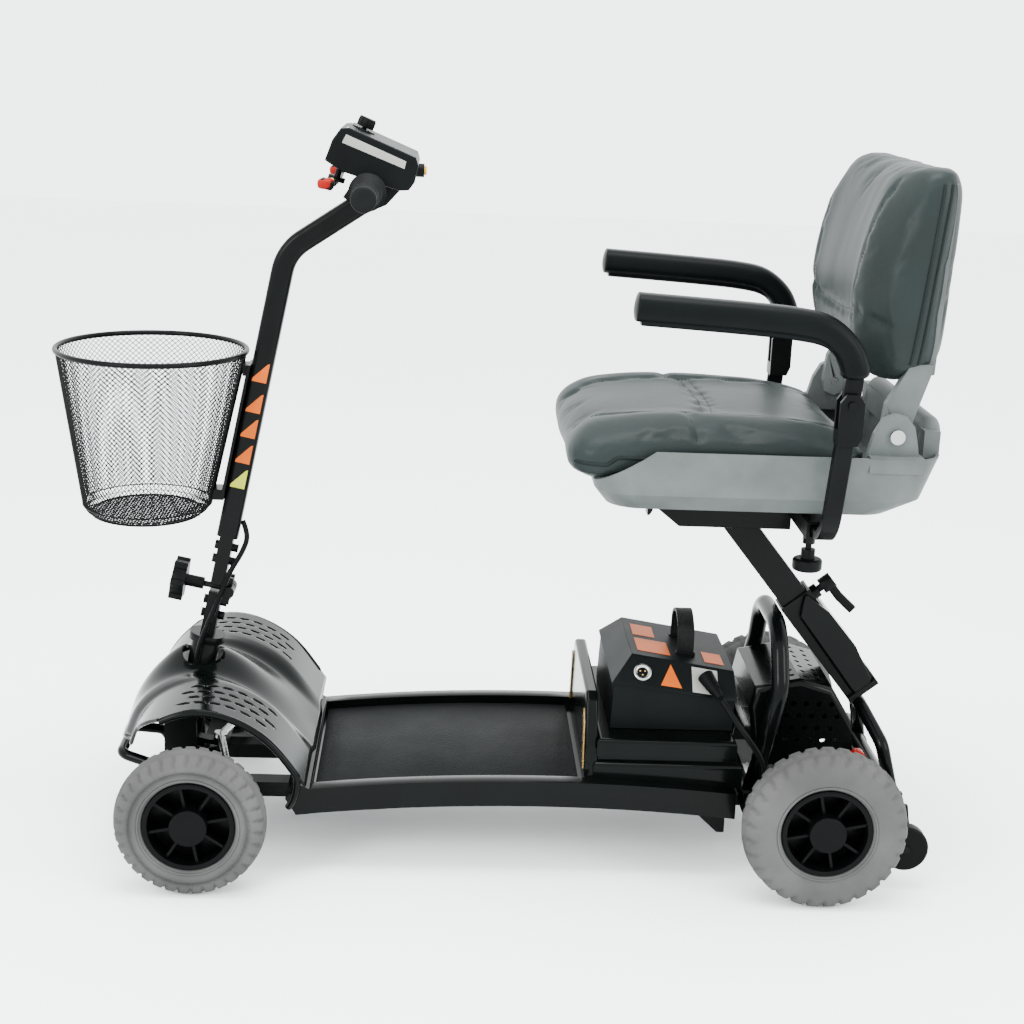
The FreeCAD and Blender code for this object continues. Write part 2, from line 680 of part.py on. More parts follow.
def tie_rods():
    """Drop-arm pin and the rod to each knuckle arm."""
    level = PIVOT_LEVEL + 24
    inner = V(-STEER_ARM, 0, level)
    eye = Part.makeCylinder(9, 8, V(inner.x, 0, level - 4))
    pin = Part.makeCylinder(4, 18, V(inner.x, 0, level - 14))
    parts = [pin]
    for side in (-1, 1):
        outer = V(PIVOT_SET_BACK - STEER_ARM, side * KINGPIN_Y, level)
        parts.append(rod(inner, outer, 5))
        parts.append(Part.makeCylinder(8, 8, V(outer.x, outer.y, level - 4)))
        parts.append(Part.makeCylinder(3.6, 18, V(outer.x, outer.y, level - 14)))
    return on_stem(fused(eye, *parts))


def knuckle(side):
    """Stub-axle bracket that turns about a kingpin, with its steering arm."""
    low, high = sorted((-12 * side, 20 * side))
    web_low, web_high = sorted((13 * side, 20 * side))
    top = box((-12, 12), (low, high), (11.5, 18))
    bottom = box((-12, 12), (low, high), (-18, -11.5))
    web = box((-12, 12), (web_low, web_high), (-18, 18))
    kingpin = Part.makeCylinder(6, 36, V(0, 0, -18))
    arm = box((-STEER_ARM - 9, 0), (-8, 8), (12, 18))
    hole = Part.makeCylinder(4 + RUN, 40, V(-STEER_ARM, 0, 0))
    shape = fused(top, bottom, web, kingpin, arm).cut(hole)
    shape.translate(V(PIVOT_SET_BACK, side * KINGPIN_Y, PIVOT_LEVEL))
    shape = on_stem(shape)
    axle = V(FRONT_AXLE_X, side * (KINGPIN_Y + 14), FRONT_RADIUS)
    return fused(shape, rod(axle, axle + ACROSS * (side * 52), 8))


# ---------------------------------------------------------------- tiller

TUBE_WIDTH = 28.0
TILLER_FOOT = 146.0       # lower end of the tiller tube, measured up the steering axis


def stem_point(forward, up, y=0.0):
    """A point given square to, and along, the steering axis."""
    lean = math.radians(RAKE)
    return STEM_BASE + V(forward * math.cos(lean) - up * math.sin(lean), y,
                         forward * math.sin(lean) + up * math.cos(lean))


def tiller_tube():
    """Bent square tube from the hinge bracket to the handlebar, with the bar welded on."""
    lean = math.radians(RAKE)
    path = [stem_point(0, TILLER_FOOT), V(276, 0, 778.5), V(178, 0, 845)]
    across = V(TUBE_WIDTH * math.cos(lean), 0, TUBE_WIDTH * math.sin(lean))
    mast = swept_bar(path, 62, across, V(0, TUBE_WIDTH, 0), 7)
    block = box((-9, 9), (-14, 14), (80, TILLER_FOOT + 6))
    knuckle_ring = tube(V(-17, 5.5, 74), V(-17, 11, 74), 7.5, 3.5 + RUN)
    web = box((-20, -7), (5.5, 11), (76, 92)).cut(rod(V(-17, 0, 74), V(-17, 30, 74), 7.4))
    bracket = fused(block, knuckle_ring, mirrored(knuckle_ring), web, mirrored(web))
    for level in (112, 131):
        bracket = fused(bracket, stem_bolt(level))
    gusset = prism([(205, 850), (188, 876), (134, 860), (150, 842), (176, 830)], -11, 11)
    bar = rod(HANDLEBAR - ACROSS * 186, HANDLEBAR + ACROSS * 186, 11)
    return fused(mast, on_stem(bracket), gusset, bar)


CABLE_RADIUS = 3.5
CABLE_ROUTE = (V(331, 0, 421), V(322, 5, 404), V(329, 18, 383), V(345, 26, 358), V(360, 28, 318),
               V(375, 30, 282), V(386, 31, 252), V(391, 27, 222), V(392, 24, 196))


def tiller_cable():
    """Cable from the tiller tube, round the side of the stem and in under the shroud."""
    cable = swept_rod(list(CABLE_ROUTE), 60, CABLE_RADIUS)
    mast = on_stem(box((-14, 14), (-14, 14), (TILLER_FOOT, 400)))
    return cable.cut(mast)


BASKET_X = 448.0
BASKET_RIM_Z = 648.0
BASKET_FLOOR_Z = 430.0


def ellipse(centre, along_x, along_y):
    """Closed ellipse in a level plane."""
    if along_y >= along_x:
        curve = Part.Ellipse(centre + V(0, along_y, 0), centre + V(along_x, 0, 0), centre)
    else:
        curve = Part.Ellipse(centre + V(along_x, 0, 0), centre + V(0, along_y, 0), centre)
    return Part.Wire([curve.toShape()])


def basket_cup(levels):
    """Solid of oval section through (centre x, half length, half width, height) levels."""
    return Part.makeLoft([ellipse(V(x, 0, z), along_x, along_y) for x, along_x, along_y, z in levels],
                         True, True)


def basket():
    """Deep oval basket, open at the top, with a thick rim."""
    top = BASKET_RIM_Z
    outer = basket_cup([(456, 72, 83, BASKET_FLOOR_Z), (455, 84, 95, BASKET_FLOOR_Z + 14),
                        (448, 121, 129, top - 5), (448, 125, 133, top - 3),
                        (448, 125, 133, top + 3), (448, 123, 131, top + 4)])
    inner = basket_cup([(456, 70, 81, BASKET_FLOOR_Z + 3), (455, 81, 92, BASKET_FLOOR_Z + 14),
                        (448, 118, 126, top - 5), (448, 118, 126, top + 10)])
    return outer.cut(inner)


def basket_bracket():
    """Plate on the front of the tiller with an arm to the basket at each end."""
    plate = box((14, 18), (-22, 22), (205, 380))
    shape = on_stem(plate)
    upper = box((302, 330), (-16, 16), (618, 632))
    lower = box((345, 382), (-16, 16), (452, 466))
    shape = fused(shape, upper, lower)
    shape = shape.cut(solid_basket()).cut(on_stem(box((-60, 14), (-30, 30), (150, 420))))
    return shape


def solid_basket():
    """The basket's outer shape without its hollow, with its rim."""
    rim = ellipse(V(BASKET_X, 0, BASKET_RIM_Z), 122, 130)
    waist = ellipse(V(455, 0, BASKET_FLOOR_Z + 14), 84, 95)
    return Part.makeLoft([waist, rim], True, True)


CONSOLE_OUTLINE = ((225, 899), (216, 924), (206, 938), (195, 939), (113, 906), (110, 896),
                   (114, 876), (121, 866), (133, 865), (204, 886))
CONSOLE_HALF_WIDTH = 70.0


def console_housing():
    """Instrument box on the handlebar, open underneath for the bar and its gusset."""
    outer = prism(CONSOLE_OUTLINE, -CONSOLE_HALF_WIDTH, CONSOLE_HALF_WIDTH)
    outer = outer.makeFillet(2.5, [e for e in outer.Edges if abs(e.BoundBox.YLength) < 1])
    centre_x, centre_z = 166, 902
    inner = [(centre_x + (x - centre_x) * 0.90, centre_z + (z - centre_z) * 0.84)
             for x, z in CONSOLE_OUTLINE]
    housing = outer.cut(prism(inner, 4 - CONSOLE_HALF_WIDTH, CONSOLE_HALF_WIDTH - 4))
    housing = housing.cut(rod(HANDLEBAR - ACROSS * 90, HANDLEBAR + ACROSS * 90, 11.3))
    housing = housing.cut(box((120, 212), (-12, 12), (850, 884)))
    housing = housing.cut(dial_shaft(3.3, -12, 30))
    collar = rod(V(113, 25, 888), V(103, 25, 888), 8.5)
    housing = fused(housing, collar).cut(rod(V(130, 25, 888), V(95, 25, 888), 5.6))
    return housing.cut(rod(V(165, -80, 905), V(165, -50, 905), 4 + RUN))


DIAL_SEAT = V(181, 0, 933.4)
TOP_NORMAL = V(-0.373, 0, 0.928)


def dial_shaft(radius, low, high):
    """Round bar square to the console's top face."""
    return rod(DIAL_SEAT + TOP_NORMAL * low, DIAL_SEAT + TOP_NORMAL * high, radius)


def speed_dial():
    """Ribbed knob on a thin shaft."""
    knob = dial_shaft(10.5, 4, 16)
    for turn in range(10):
        rib = rod(DIAL_SEAT + TOP_NORMAL * 4 + ACROSS * 10.5, DIAL_SEAT + TOP_NORMAL * 14 + ACROSS * 10.5, 1)
        rib.rotate(DIAL_SEAT, TOP_NORMAL, turn * 36)
        knob = knob.fuse(rib)
    return fused(knob, dial_shaft(3, -8, 5))


def horn_button():
    """Push button in its collar on the rider's side."""
    return rod(V(118, 25, 888), V(100, 25, 888), 5.5)


def ignition_key():
    """Key in the right-hand side of the console."""
    stem = rod(V(165, -56, 905), V(165, -74, 905), 4)
    blade = box((153, 177), (-96, -73), (902.5, 907.5))
    return fused(stem, blade)


def grips():
    """Rubber grips, each with a flange at its inner end and a closed outer end."""
    sleeve = rod(HANDLEBAR + ACROSS * 92, HANDLEBAR + ACROSS * 203, 14.5)
    flange = Part.makeCone(23.5, 15, 34, HANDLEBAR + ACROSS * 92, ACROSS)
    grip = fused(sleeve, flange).cut(rod(HANDLEBAR + ACROSS * 80, HANDLEBAR + ACROSS * 186, 11))
    return both_sides(grip)


LEVER_PIVOT = V(214, 0, 872)
LEVER_NORMAL = V(-0.28, 0, 0.96)


def throttle_lever():
    """Two-ended finger lever under the console, pivoted in the middle."""
    hub_disc = rod(LEVER_PIVOT - LEVER_NORMAL * 3, LEVER_PIVOT + LEVER_NORMAL * 3, 11)
    pin = rod(LEVER_PIVOT - LEVER_NORMAL * 6, LEVER_PIVOT + LEVER_NORMAL * 12, 4)
    arm = swept_bar([LEVER_PIVOT, LEVER_PIVOT + V(0, 84, 0), LEVER_PIVOT + V(6, 118, 2)], 15,
                    V(9, 0, 2.6), V(-1.1, 0, 3.8), 1)
    tip = box((-9, 9), (0, 24), (-6, 6))
    tip = tip.makeFillet(4, tip.Edges)
    tip.rotate(ORIGIN, ACROSS, -16)
    tip.translate(LEVER_PIVOT + V(5, 102, 2))
    half = fused(arm, tip)
    return fused(hub_disc, pin, half, mirrored(half))


# ---------------------------------------------------------------- seat

SEAT_FLOOR_Z = 500.0
SEAT_RIM_Z = 578.0


def rounded_rectangle(x_low, x_high, half_width, z, radius):
    """Level rectangle with rounded corners."""
    corners = [V(x_low, -half_width, z), V(x_high, -half_width, z),
               V(x_high, half_width, z), V(x_low, half_width, z)]
    return rounded_loop(corners, radius)


def seat_bowl(gap, floor):
    """Tapered bowl under the seat cushion, shrunk by gap."""
    low = rounded_rectangle(-488 + gap, -134 - gap, 182 - gap, floor, 42 - gap)
    middle = rounded_rectangle(-522 + gap, -118 - gap, 204 - gap, 522, 44 - gap)
    rim = rounded_rectangle(-540 + gap, -108 - gap, 214 - gap, SEAT_RIM_Z, 46 - gap)
    return Part.makeLoft([low, middle], True, True).fuse(Part.makeLoft([middle, rim], True, True))


def front_dip():
    """Wedge that lowers the bowl's front rim."""
    return prism([(-95, 532), (-112, 530), (-172, 567), (-190, 580), (-190, 640), (-95, 640)], -240, 240)


def seat_base():
    """Moulded seat pan with a raised back edge and two ears for the backrest hinge."""
    pan = seat_bowl(0, SEAT_FLOOR_Z).cut(seat_bowl(4, SEAT_FLOOR_Z + 5)).cut(front_dip())
    ear = prism([(-440, 560), (-452, 606), (-462, 624), (-476, 631), (-490, 628), (-500, 616),
                 (-504, 600), (-512, 560)], 186, 200)
    ear = fused(ear, prism([(-446, 560), (-512, 560), (-512, 580), (-446, 580)], 186, 213))
    tail = swept_rod([V(-528, 150, 566), V(-534, 150, 606), V(-534, -150, 606), V(-528, -150, 566)], 18, 13)
    back = box((-540, -520), (-172, 172), (572, 606))
    bore = rod(HINGE + ACROSS * 170, HINGE + ACROSS * 230, 5)
    base = fused(pan, ear, mirrored(ear), tail, back)
    base = base.cut(bore).cut(mirrored(bore))
    return base.cut(seat_bowl(4, SEAT_FLOOR_Z + 5).common(box((-440, -90), (-240, 240), (500, 579))))


def hinge_bolts():
    """Backrest hinge bolts with domed heads."""
    shank = rod(HINGE + ACROSS * 170, HINGE + ACROSS * 200, 5)
    head = rod(HINGE + ACROSS * 200, HINGE + ACROSS * 205, 9)
    return both_sides(fused(shank, head))


def seat_cushion():
    """Thick seat cushion that fills the pan and laps over its front edge."""
    inner = seat_bowl(5, SEAT_FLOOR_Z + 6).cut(front_dip())
    inner = inner.cut(box((-600, -448), (-240, 240), (480, 640)))
    top = prism([(-79, 546), (-84, 566), (-104, 588), (-150, 602), (-230, 609), (-320, 610), (-396, 604),
                 (-428, 594), (-441, 579), (-190, 579), (-172, 569), (-114, 535), (-96, 530)],
                -206, 206)
    edges = [e for e in top.Edges if e.BoundBox.ZMin > 585 and e.BoundBox.YLength < 1]
    top = top.makeFillet(5, edges)
    cushion = fused(inner.cut(box((-96, -60), (-240, 240), (480, 640))), top)
    return largest(cushion.cut(seat_base()))


def seat_post():
    """Inner post, slide bracket and armrest receiver."""
    half = POST_WIDTH / 2
    post = on_post(box((-half, half), (-half, half), (-122, 150)))
    post = post.cut(on_post(box((3 - half, half - 3), (3 - half, half - 3), (-140, 118))))
    post = post.cut(box((-500, -100), (-60, 60), (SEAT_FLOOR_Z - 4, 640)))
    rail = prism([(-206, 499.7), (-206, 474), (-240, 447), (-386, 447), (-386, 499.7)], -62, 62)
    rail = rail.cut(prism([(-200, 495), (-210, 476), (-242, 451), (-382, 451), (-382, 495)], -58, 58))
    post = post.cut(box((-500, -100), (-60, 60), (495.5, 640)))
    tab = prism([(-200, 499.7), (-207, 499.7), (-207, 462), (-203, 456), (-200, 456)], 20, 44)
    receiver = box((-414, -380), (-190, 190), (RECEIVER.z - 11, RECEIVER.z + 11))
    bore = box((-409, -385), (90, 200), (RECEIVER.z - 7.5, RECEIVER.z + 7.5))
    boss = rod(V(RECEIVER.x, 130, 448), V(RECEIVER.x, 130, RECEIVER.z - 10), 8)
    thread = rod(V(RECEIVER.x, 130, 440), V(RECEIVER.x, 130, RECEIVER.z - 5), 4 + RUN)
    shape = fused(rail, receiver, box((-414, -380), (-58, 58), (RECEIVER.z + 10, 499.7)), tab, boss,
                  mirrored(boss))
    for cutter in (bore, thread):
        shape = shape.cut(cutter).cut(mirrored(cutter))
    shape = shape.cut(on_post(box((3 - half, half - 3), (3 - half, half - 3), (-140, 118))))
    return fused(shape, post)


def armrest_knob(side):
    """Round hand knob under an armrest receiver."""
    at = V(RECEIVER.x, side * 130, 0)
    stud = rod(at + V(0, 0, 428), at + V(0, 0, RECEIVER.z - 8), 4)
    neck = rod(at + V(0, 0, 428), at + V(0, 0, 441), 9)
    disc = rod(at + V(0, 0, 413), at + V(0, 0, 429), 19)
    disc = disc.makeFillet(4, [e for e in disc.Edges if e.Length > 100])
    return fused(stud, neck, disc)


def armrest_bar(side):
    """Cranked bar from the receiver up to the armrest clevis."""
    path = [V(RECEIVER.x, 104, RECEIVER.z), V(RECEIVER.x, BAR_Y, RECEIVER.z), V(-408, BAR_Y, 614)]
    bar = swept_bar(path, 34, V(22, 0, 0), V(0, 0, 13), 2)
    outline = [(-396, 600), (-396, 652), (-403, 662), (-417, 662), (-425, 652), (-425, 612), (-420, 600)]
    cheeks = prism(outline, BAR_Y - 15, BAR_Y + 13)
    cheeks = cheeks.cut(box((-440, -380), (BAR_Y - 9.3, BAR_Y + 7.3), (618, 680)))
    pin = rod(V(ARM_PIVOT.x, BAR_Y - 15, ARM_PIVOT.z), V(ARM_PIVOT.x, BAR_Y + 17, ARM_PIVOT.z), 5)
    bar = fused(bar, cheeks, pin)
    return bar if side > 0 else mirrored(bar)


def armrest(side):
    """Padded armrest that hinges on the clevis pin."""
    path = [V(-414, ARM_Y, 672), V(-404, ARM_Y, 704), V(-364, ARM_Y, 737), V(-152, ARM_Y, 755)]
    pad = swept_bar(path, 60, V(33, 0, -8), V(0, 42, 0), 11)
    tab = prism([(-399, 649), (-399, 690), (-424, 690), (-421, 649), (-417, 640), (-410, 638),
                 (-403, 640)], BAR_Y - 9, BAR_Y + 7)
    core = prism([(-170, 727), (-356, 712), (-384, 690), (-390, 676), (-398, 690), (-372, 730), (-170, 746)],
                 ARM_Y - 11, ARM_Y + 11)
    screws = [rod(V(x, ARM_Y, 722), V(x, ARM_Y, 735), 4) for x in (-190, -300)]
    bore = rod(V(ARM_PIVOT.x, 190, ARM_PIVOT.z), V(ARM_PIVOT.x, 260, ARM_PIVOT.z), 5 + RUN)
    shape = fused(pad, tab, core, *screws).cut(bore)
    return shape if side > 0 else mirrored(shape)


def backrest_shell():
    """Moulded back panel with two arms down to the hinge."""
    panel = prism([(-492, 676), (-520, 908), (-533, 906), (-524, 676)], -176, 176)
    arm = prism([(-462, 604), (-466, 588), (-479, 583), (-492, 588), (-496, 604), (-522, 690),
                 (-492, 690), (-466, 640)], 170, 185)
    bore = rod(HINGE + ACROSS * 160, HINGE + ACROSS * 240, 5 + RUN)
    return fused(panel, arm, mirrored(arm)).cut(bore).cut(mirrored(bore))


def backrest_cushion():
    """Thick back cushion whose cover wraps over and behind the panel."""
    outline = [(-450, 676), (-437, 700), (-437, 780), (-452, 852), (-474, 906), (-500, 926), (-540, 926),
               (-562, 904), (-556, 820), (-542, 684), (-528, 672), (-470, 666)]
    pad = prism(outline, -198, 198)
    edges = [e for e in pad.Edges if e.BoundBox.YLength < 1]
    pad = pad.makeFillet(9, edges)
    slot = prism([(-491, 660), (-519.5, 908.8), (-533.8, 906.8), (-525, 660)], -176.6, 176.6)
    arms = box((-530, -460), (169.4, 185.6), (640, 690.7))
    return largest(pad.cut(slot).cut(arms).cut(mirrored(arms)).cut(backrest_shell()))


# ---------------------------------------------------------------- export

def all_parts():
    """Every sub-part by its node name."""
    parts = {
        "floor_pan": floor_pan(), "deck_mat": deck_mat(), "main_frame": main_frame(),
        "front_bumper": front_bumper(), "front_shroud": front_shroud(),
        "front_axle_beam": front_axle_beam(), "battery_tray": battery_tray(),
        "controller": controller(), "battery_tub": battery_tub(), "battery_lid": battery_lid(),
        "battery_handle": battery_handle(), "battery_cells": battery_cells(),
        "battery_lead": battery_lead(), "lead_plug": lead_plug(), "rear_hoop": rear_hoop(),
        "rear_arch": rear_arch(), "post_sleeve": post_sleeve(), "post_cover": post_cover(),
        "seat_clamp_lever": seat_clamp_lever(), "motor_cover": motor_cover(),
        "transaxle": transaxle(), "drive_motor": drive_motor(), "freewheel_lever": freewheel_lever(),
        "steering_column": steering_column(), "tiller_knob": tiller_knob(), "tie_rods": tie_rods(),
        "tiller_tube": tiller_tube(), "tiller_cable": tiller_cable(), "basket": basket(),
        "basket_bracket": basket_bracket(), "console_housing": console_housing(),
        "speed_dial": speed_dial(), "horn_button": horn_button(), "ignition_key": ignition_key(),
        "grips": grips(), "throttle_lever": throttle_lever(), "seat_base": seat_base(),
        "hinge_bolts": hinge_bolts(), "seat_cushion": seat_cushion(), "seat_post": seat_post(),
        "backrest_shell": backrest_shell(), "backrest_cushion": backrest_cushion(),
    }
    for name, side in (("left", 1), ("right", -1)):
        front = V(FRONT_AXLE_X, side * WHEEL_Y, FRONT_RADIUS)
        rear = V(REAR_AXLE_X, side * WHEEL_Y, REAR_RADIUS)
        parts["front_tyre_" + name] = tyre(front, FRONT_RADIUS)
        parts["rear_tyre_" + name] = tyre(rear, REAR_RADIUS)
        parts["front_hub_" + name] = hub(front, side, 8 + RUN, 0)
        parts["rear_hub_" + name] = hub(rear, side, 0, 130)
        parts["anti_tip_wheel_" + name] = anti_tip_wheel(side)
        parts["knuckle_" + name] = knuckle(side)
        parts["armrest_knob_" + name] = armrest_knob(side)
        parts["armrest_bar_" + name] = armrest_bar(side)
        parts["armrest_" + name] = armrest(side)
    return parts


def main():
    os.makedirs("parts", exist_ok=True)
    for node, shape in all_parts().items():
        shape.exportStep("parts/" + node + ".step")
    for name, route, radius in (("battery lead", LEAD_ROUTE, LEAD_RADIUS),
                                ("tiller cable", CABLE_ROUTE, CABLE_RADIUS)):
        path = rounded_path(list(route), 60)
        arcs = [round(e.Curve.Radius, 1) for e in path.Edges if hasattr(e.Curve, "Radius")]
        print(name, "length", round(path.Length, 1), "radius", radius, "arc radii", arcs)


main()
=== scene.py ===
"""Four-wheel mobility scooter: its looks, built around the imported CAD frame.

+X is forwards, +Y the rider's left, +Z up. Lengths in the code are millimetres; mm() turns them
into the frame's metres.
"""
import functools
import math

import bmesh
import bpy
from mathutils import Matrix, Vector, noise
from mathutils.bvhtree import BVHTree


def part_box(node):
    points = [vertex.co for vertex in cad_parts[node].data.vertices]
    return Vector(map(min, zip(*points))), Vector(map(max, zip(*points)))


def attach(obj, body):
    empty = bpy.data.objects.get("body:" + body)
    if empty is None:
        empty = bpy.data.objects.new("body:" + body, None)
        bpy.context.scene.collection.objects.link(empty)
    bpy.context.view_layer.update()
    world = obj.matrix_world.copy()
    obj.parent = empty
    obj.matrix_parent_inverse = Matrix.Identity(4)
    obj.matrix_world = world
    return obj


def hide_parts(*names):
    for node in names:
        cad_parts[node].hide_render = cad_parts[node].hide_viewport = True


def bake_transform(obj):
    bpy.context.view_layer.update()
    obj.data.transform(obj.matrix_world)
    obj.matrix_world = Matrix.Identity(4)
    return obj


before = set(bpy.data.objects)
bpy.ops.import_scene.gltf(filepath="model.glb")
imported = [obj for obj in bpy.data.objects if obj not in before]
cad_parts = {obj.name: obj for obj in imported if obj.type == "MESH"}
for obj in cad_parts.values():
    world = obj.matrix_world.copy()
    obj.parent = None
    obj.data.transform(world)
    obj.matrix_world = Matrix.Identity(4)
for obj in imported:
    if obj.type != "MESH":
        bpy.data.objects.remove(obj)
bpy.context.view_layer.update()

SIDES = {"left": 1, "right": -1}
WHEEL_SIDES = [("front", "left"), ("front", "right"), ("rear", "left"), ("rear", "right")]

RAKE = math.radians(11.1)                      # the steering axis leans back by this much
STEM_BASE = Vector((378.5, 0, 257))            # on the steering axis, at the collar
CONSOLE_NORMAL = Vector((-0.373, 0, 0.928))    # square to the console's top face
LEVER_NORMAL = Vector((-0.28, 0, 0.96))        # square to the throttle lever
HANDLEBAR = Vector((171, 0, 864))              # middle of the handlebar
RIM_RADIUS = 57                                # where a tyre meets its hub


# ---------------------------------------------------------------- small helpers

def mm(x, y, z):
    """A point in metres from millimetres."""
    return Vector((x, y, z)) * 0.001


def circle(count):
    """Cosine and sine at equal steps round a circle."""
    return [(math.cos(2 * math.pi * i / count), math.sin(2 * math.pi * i / count)) for i in range(count)]


def bent(value, power):
    """A cosine or sine raised to a power with its sign kept, which squares off a round section."""
    return math.copysign(abs(value) ** power, value)


@functools.cache
def node_box(node):
    """Lowest and highest corner of a CAD node in millimetres."""
    low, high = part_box(node)
    return low * 1000, high * 1000


def make_piece(name, verts, faces, smooth=True):
    """A mesh object from points in millimetres."""
    mesh = bpy.data.meshes.new(name)
    mesh.from_pydata([tuple(Vector(v) * 0.001) for v in verts], [], faces)
    mesh.validate()
    for polygon in mesh.polygons:
        polygon.use_smooth = smooth
    piece = bpy.data.objects.new(name, mesh)
    bpy.context.scene.collection.objects.link(piece)
    return piece


def outward(piece):
    """Turn every face of a closed mesh outwards."""
    work = bmesh.new()
    work.from_mesh(piece.data)
    bmesh.ops.recalc_face_normals(work, faces=work.faces)
    work.to_mesh(piece.data)
    work.free()
    return piece


def place(piece, body, material, slot, *nodes):
    """Give a piece its material and its body, and hide the CAD nodes it stands for. slot is not used."""
    piece.data.materials.clear()
    piece.data.materials.append(material)
    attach(piece, body)
    if nodes:
        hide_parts(*nodes)
    return piece


def rings_mesh(name, rings, wrap=False, caps=True, closed=True):
    """Skin over rings of points. wrap joins the last ring to the first; caps closes the ends."""
    count = len(rings[0])
    verts = [point for ring in rings for point in ring]
    faces = []
    spans = len(rings) if wrap else len(rings) - 1
    for row in range(spans):
        here, there = row * count, (row + 1) % len(rings) * count
        for column in range(count if closed else count - 1):
            ahead = (column + 1) % count
            faces.append((here + column, here + ahead, there + ahead, there + column))
    if caps and not wrap:
        faces.append(tuple(range(count))[::-1])
        last = (len(rings) - 1) * count
        faces.append(tuple(last + i for i in range(count)))
    return outward(make_piece(name, verts, faces))


def axis_frame(direction):
    """Two unit vectors square to a direction."""
    direction = Vector(direction).normalized()
    helper = Vector((0, 1, 0)) if abs(direction.y) < 0.9 else Vector((1, 0, 0))
    first = direction.cross(helper).normalized()
    return first, direction.cross(first).normalized()


def turned(name, start, direction, profile, steps=48, ring=False):
    """Body of revolution. profile is (distance along, radius) pairs from start; ring leaves a hole."""
    start = Vector(start)
    direction = Vector(direction).normalized()
    first, second = axis_frame(direction)
    rings = []
    for along, radius in profile:
        centre = start + direction * along
        rings.append([centre + (first * c + second * s) * max(radius, 0.02) for c, s in circle(steps)])
    return rings_mesh(name, rings, wrap=ring)


def round_cable(name, points, radius, order=3):
    """Round cable along one smooth NURBS line through its control points."""
    curve = bpy.data.curves.new(name, "CURVE")
    curve.dimensions = "3D"
    line = curve.splines.new("NURBS")
    line.points.add(len(points) - 1)
    for point, target in zip(line.points, points):
        point.co = (*(Vector(target) * 0.001), 1)
    line.order_u = order
    line.use_endpoint_u = True
    line.resolution_u = 12
    curve.bevel_depth = radius * 0.001
    curve.bevel_resolution = 5
    curve.use_fill_caps = True
    cable = bpy.data.objects.new(name, curve)
    bpy.context.scene.collection.objects.link(cable)
    return cable


def catmull(points, count):
    """Evenly numbered points on a smooth curve through the given ones."""
    points = [Vector(p) for p in points]
    padded = [points[0] * 2 - points[1]] + points + [points[-1] * 2 - points[-2]]
    found = []
    for step in range(count):
        along = step / (count - 1) * (len(points) - 1)
        index = min(int(along), len(points) - 2)
        t = along - index
        a, b, c, d = padded[index:index + 4]
        found.append(0.5 * (2 * b + (c - a) * t + (2 * a - 5 * b + 4 * c - d) * t * t
                            + (3 * b - a - 3 * c + d) * t ** 3))
    return found


def evened(points, count):
    """Points at equal distances along a line of many points."""
    lengths = [0.0]
    for a, b in zip(points, points[1:]):
        lengths.append(lengths[-1] + (b - a).length)
    found = []
    index = 0
    for step in range(count):
        target = lengths[-1] * step / (count - 1)
        while index < len(points) - 2 and lengths[index + 1] < target:
            index += 1
        span = lengths[index + 1] - lengths[index] or 1
        found.append(points[index].lerp(points[index + 1], min(1, (target - lengths[index]) / span)))
    return found


def add_modifier(piece, kind, **settings):
    """Add one modifier with its settings."""
    modifier = piece.modifiers.new(kind.title(), kind)
    for key, value in settings.items():
        setattr(modifier, key, value)
    return modifier


def applied(piece):
    """Bake a piece's modifiers into its mesh."""
    bpy.context.view_layer.update()
    graph = bpy.context.evaluated_depsgraph_get()
    mesh = bpy.data.meshes.new_from_object(piece.evaluated_get(graph))
    piece.modifiers.clear()
    piece.data = mesh
    return piece


def joined(name, *parts):
    """One object from several mesh objects."""
    work = bmesh.new()
    for part in parts:
        work.from_mesh(part.data)
        bpy.data.objects.remove(part)
    mesh = bpy.data.meshes.new(name)
    work.to_mesh(mesh)
    work.free()
    piece = bpy.data.objects.new(name, mesh)
    bpy.context.scene.collection.objects.link(piece)
    return piece


def rounded(piece, width, segments=3, angle=30):
    """Round a piece's sharp edges."""
    add_modifier(piece, "BEVEL", width=width * 0.001, segments=segments, limit_method="ANGLE",
                 angle_limit=math.radians(angle), harden_normals=True)
    return piece


def block(name, low, high, width=1.0):
    """Small moulded block with rounded edges."""
    (x0, y0, z0), (x1, y1, z1) = low, high
    rings = [[(x, y0, z0), (x, y1, z0), (x, y1, z1), (x, y0, z1)] for x in (x0, x1)]
    piece = rings_mesh(name, rings)
    rounded(piece, width)
    return applied(piece)


def plate(name, outline, normal, thickness):
    """Thin flat plate from an outline of points, thickened along its normal."""
    outline = [Vector(p) for p in outline]
    lift = Vector(normal).normalized() * thickness
    piece = rings_mesh(name, [outline, [p + lift for p in outline]])
    rounded(piece, thickness * 0.4, 2)
    return applied(piece)


# ---------------------------------------------------------------- materials

SHINE = 0.04        # facing reflection of plastics, low so that black stays black in a white studio


def new_material(name, colour, roughness, **inputs):
    """Material and its principled shader, with constants set on the shader's own sockets."""
    material = bpy.data.materials.new(name)
    material.use_nodes = True
    shader = material.node_tree.nodes["Principled BSDF"]
    shader.inputs["Base Color"].default_value = (*colour, 1)
    shader.inputs["Roughness"].default_value = roughness
    shader.inputs["Specular IOR Level"].default_value = SHINE
    for key, value in inputs.items():
        shader.inputs[key.replace("_", " ")].default_value = value
    return material, shader


def texture(material, kind, scale, **settings):
    """Procedural texture in the object's own metres."""
    nodes, links = material.node_tree.nodes, material.node_tree.links
    coordinates = nodes.new("ShaderNodeTexCoord")
    node = nodes.new("ShaderNodeTex" + kind)
    node.inputs["Scale"].default_value = scale
    for key, value in settings.items():
        if key in node.inputs:
            node.inputs[key].default_value = value
        else:
            setattr(node, key, value)
    links.new(coordinates.outputs["Object"], node.inputs["Vector"])
    return node


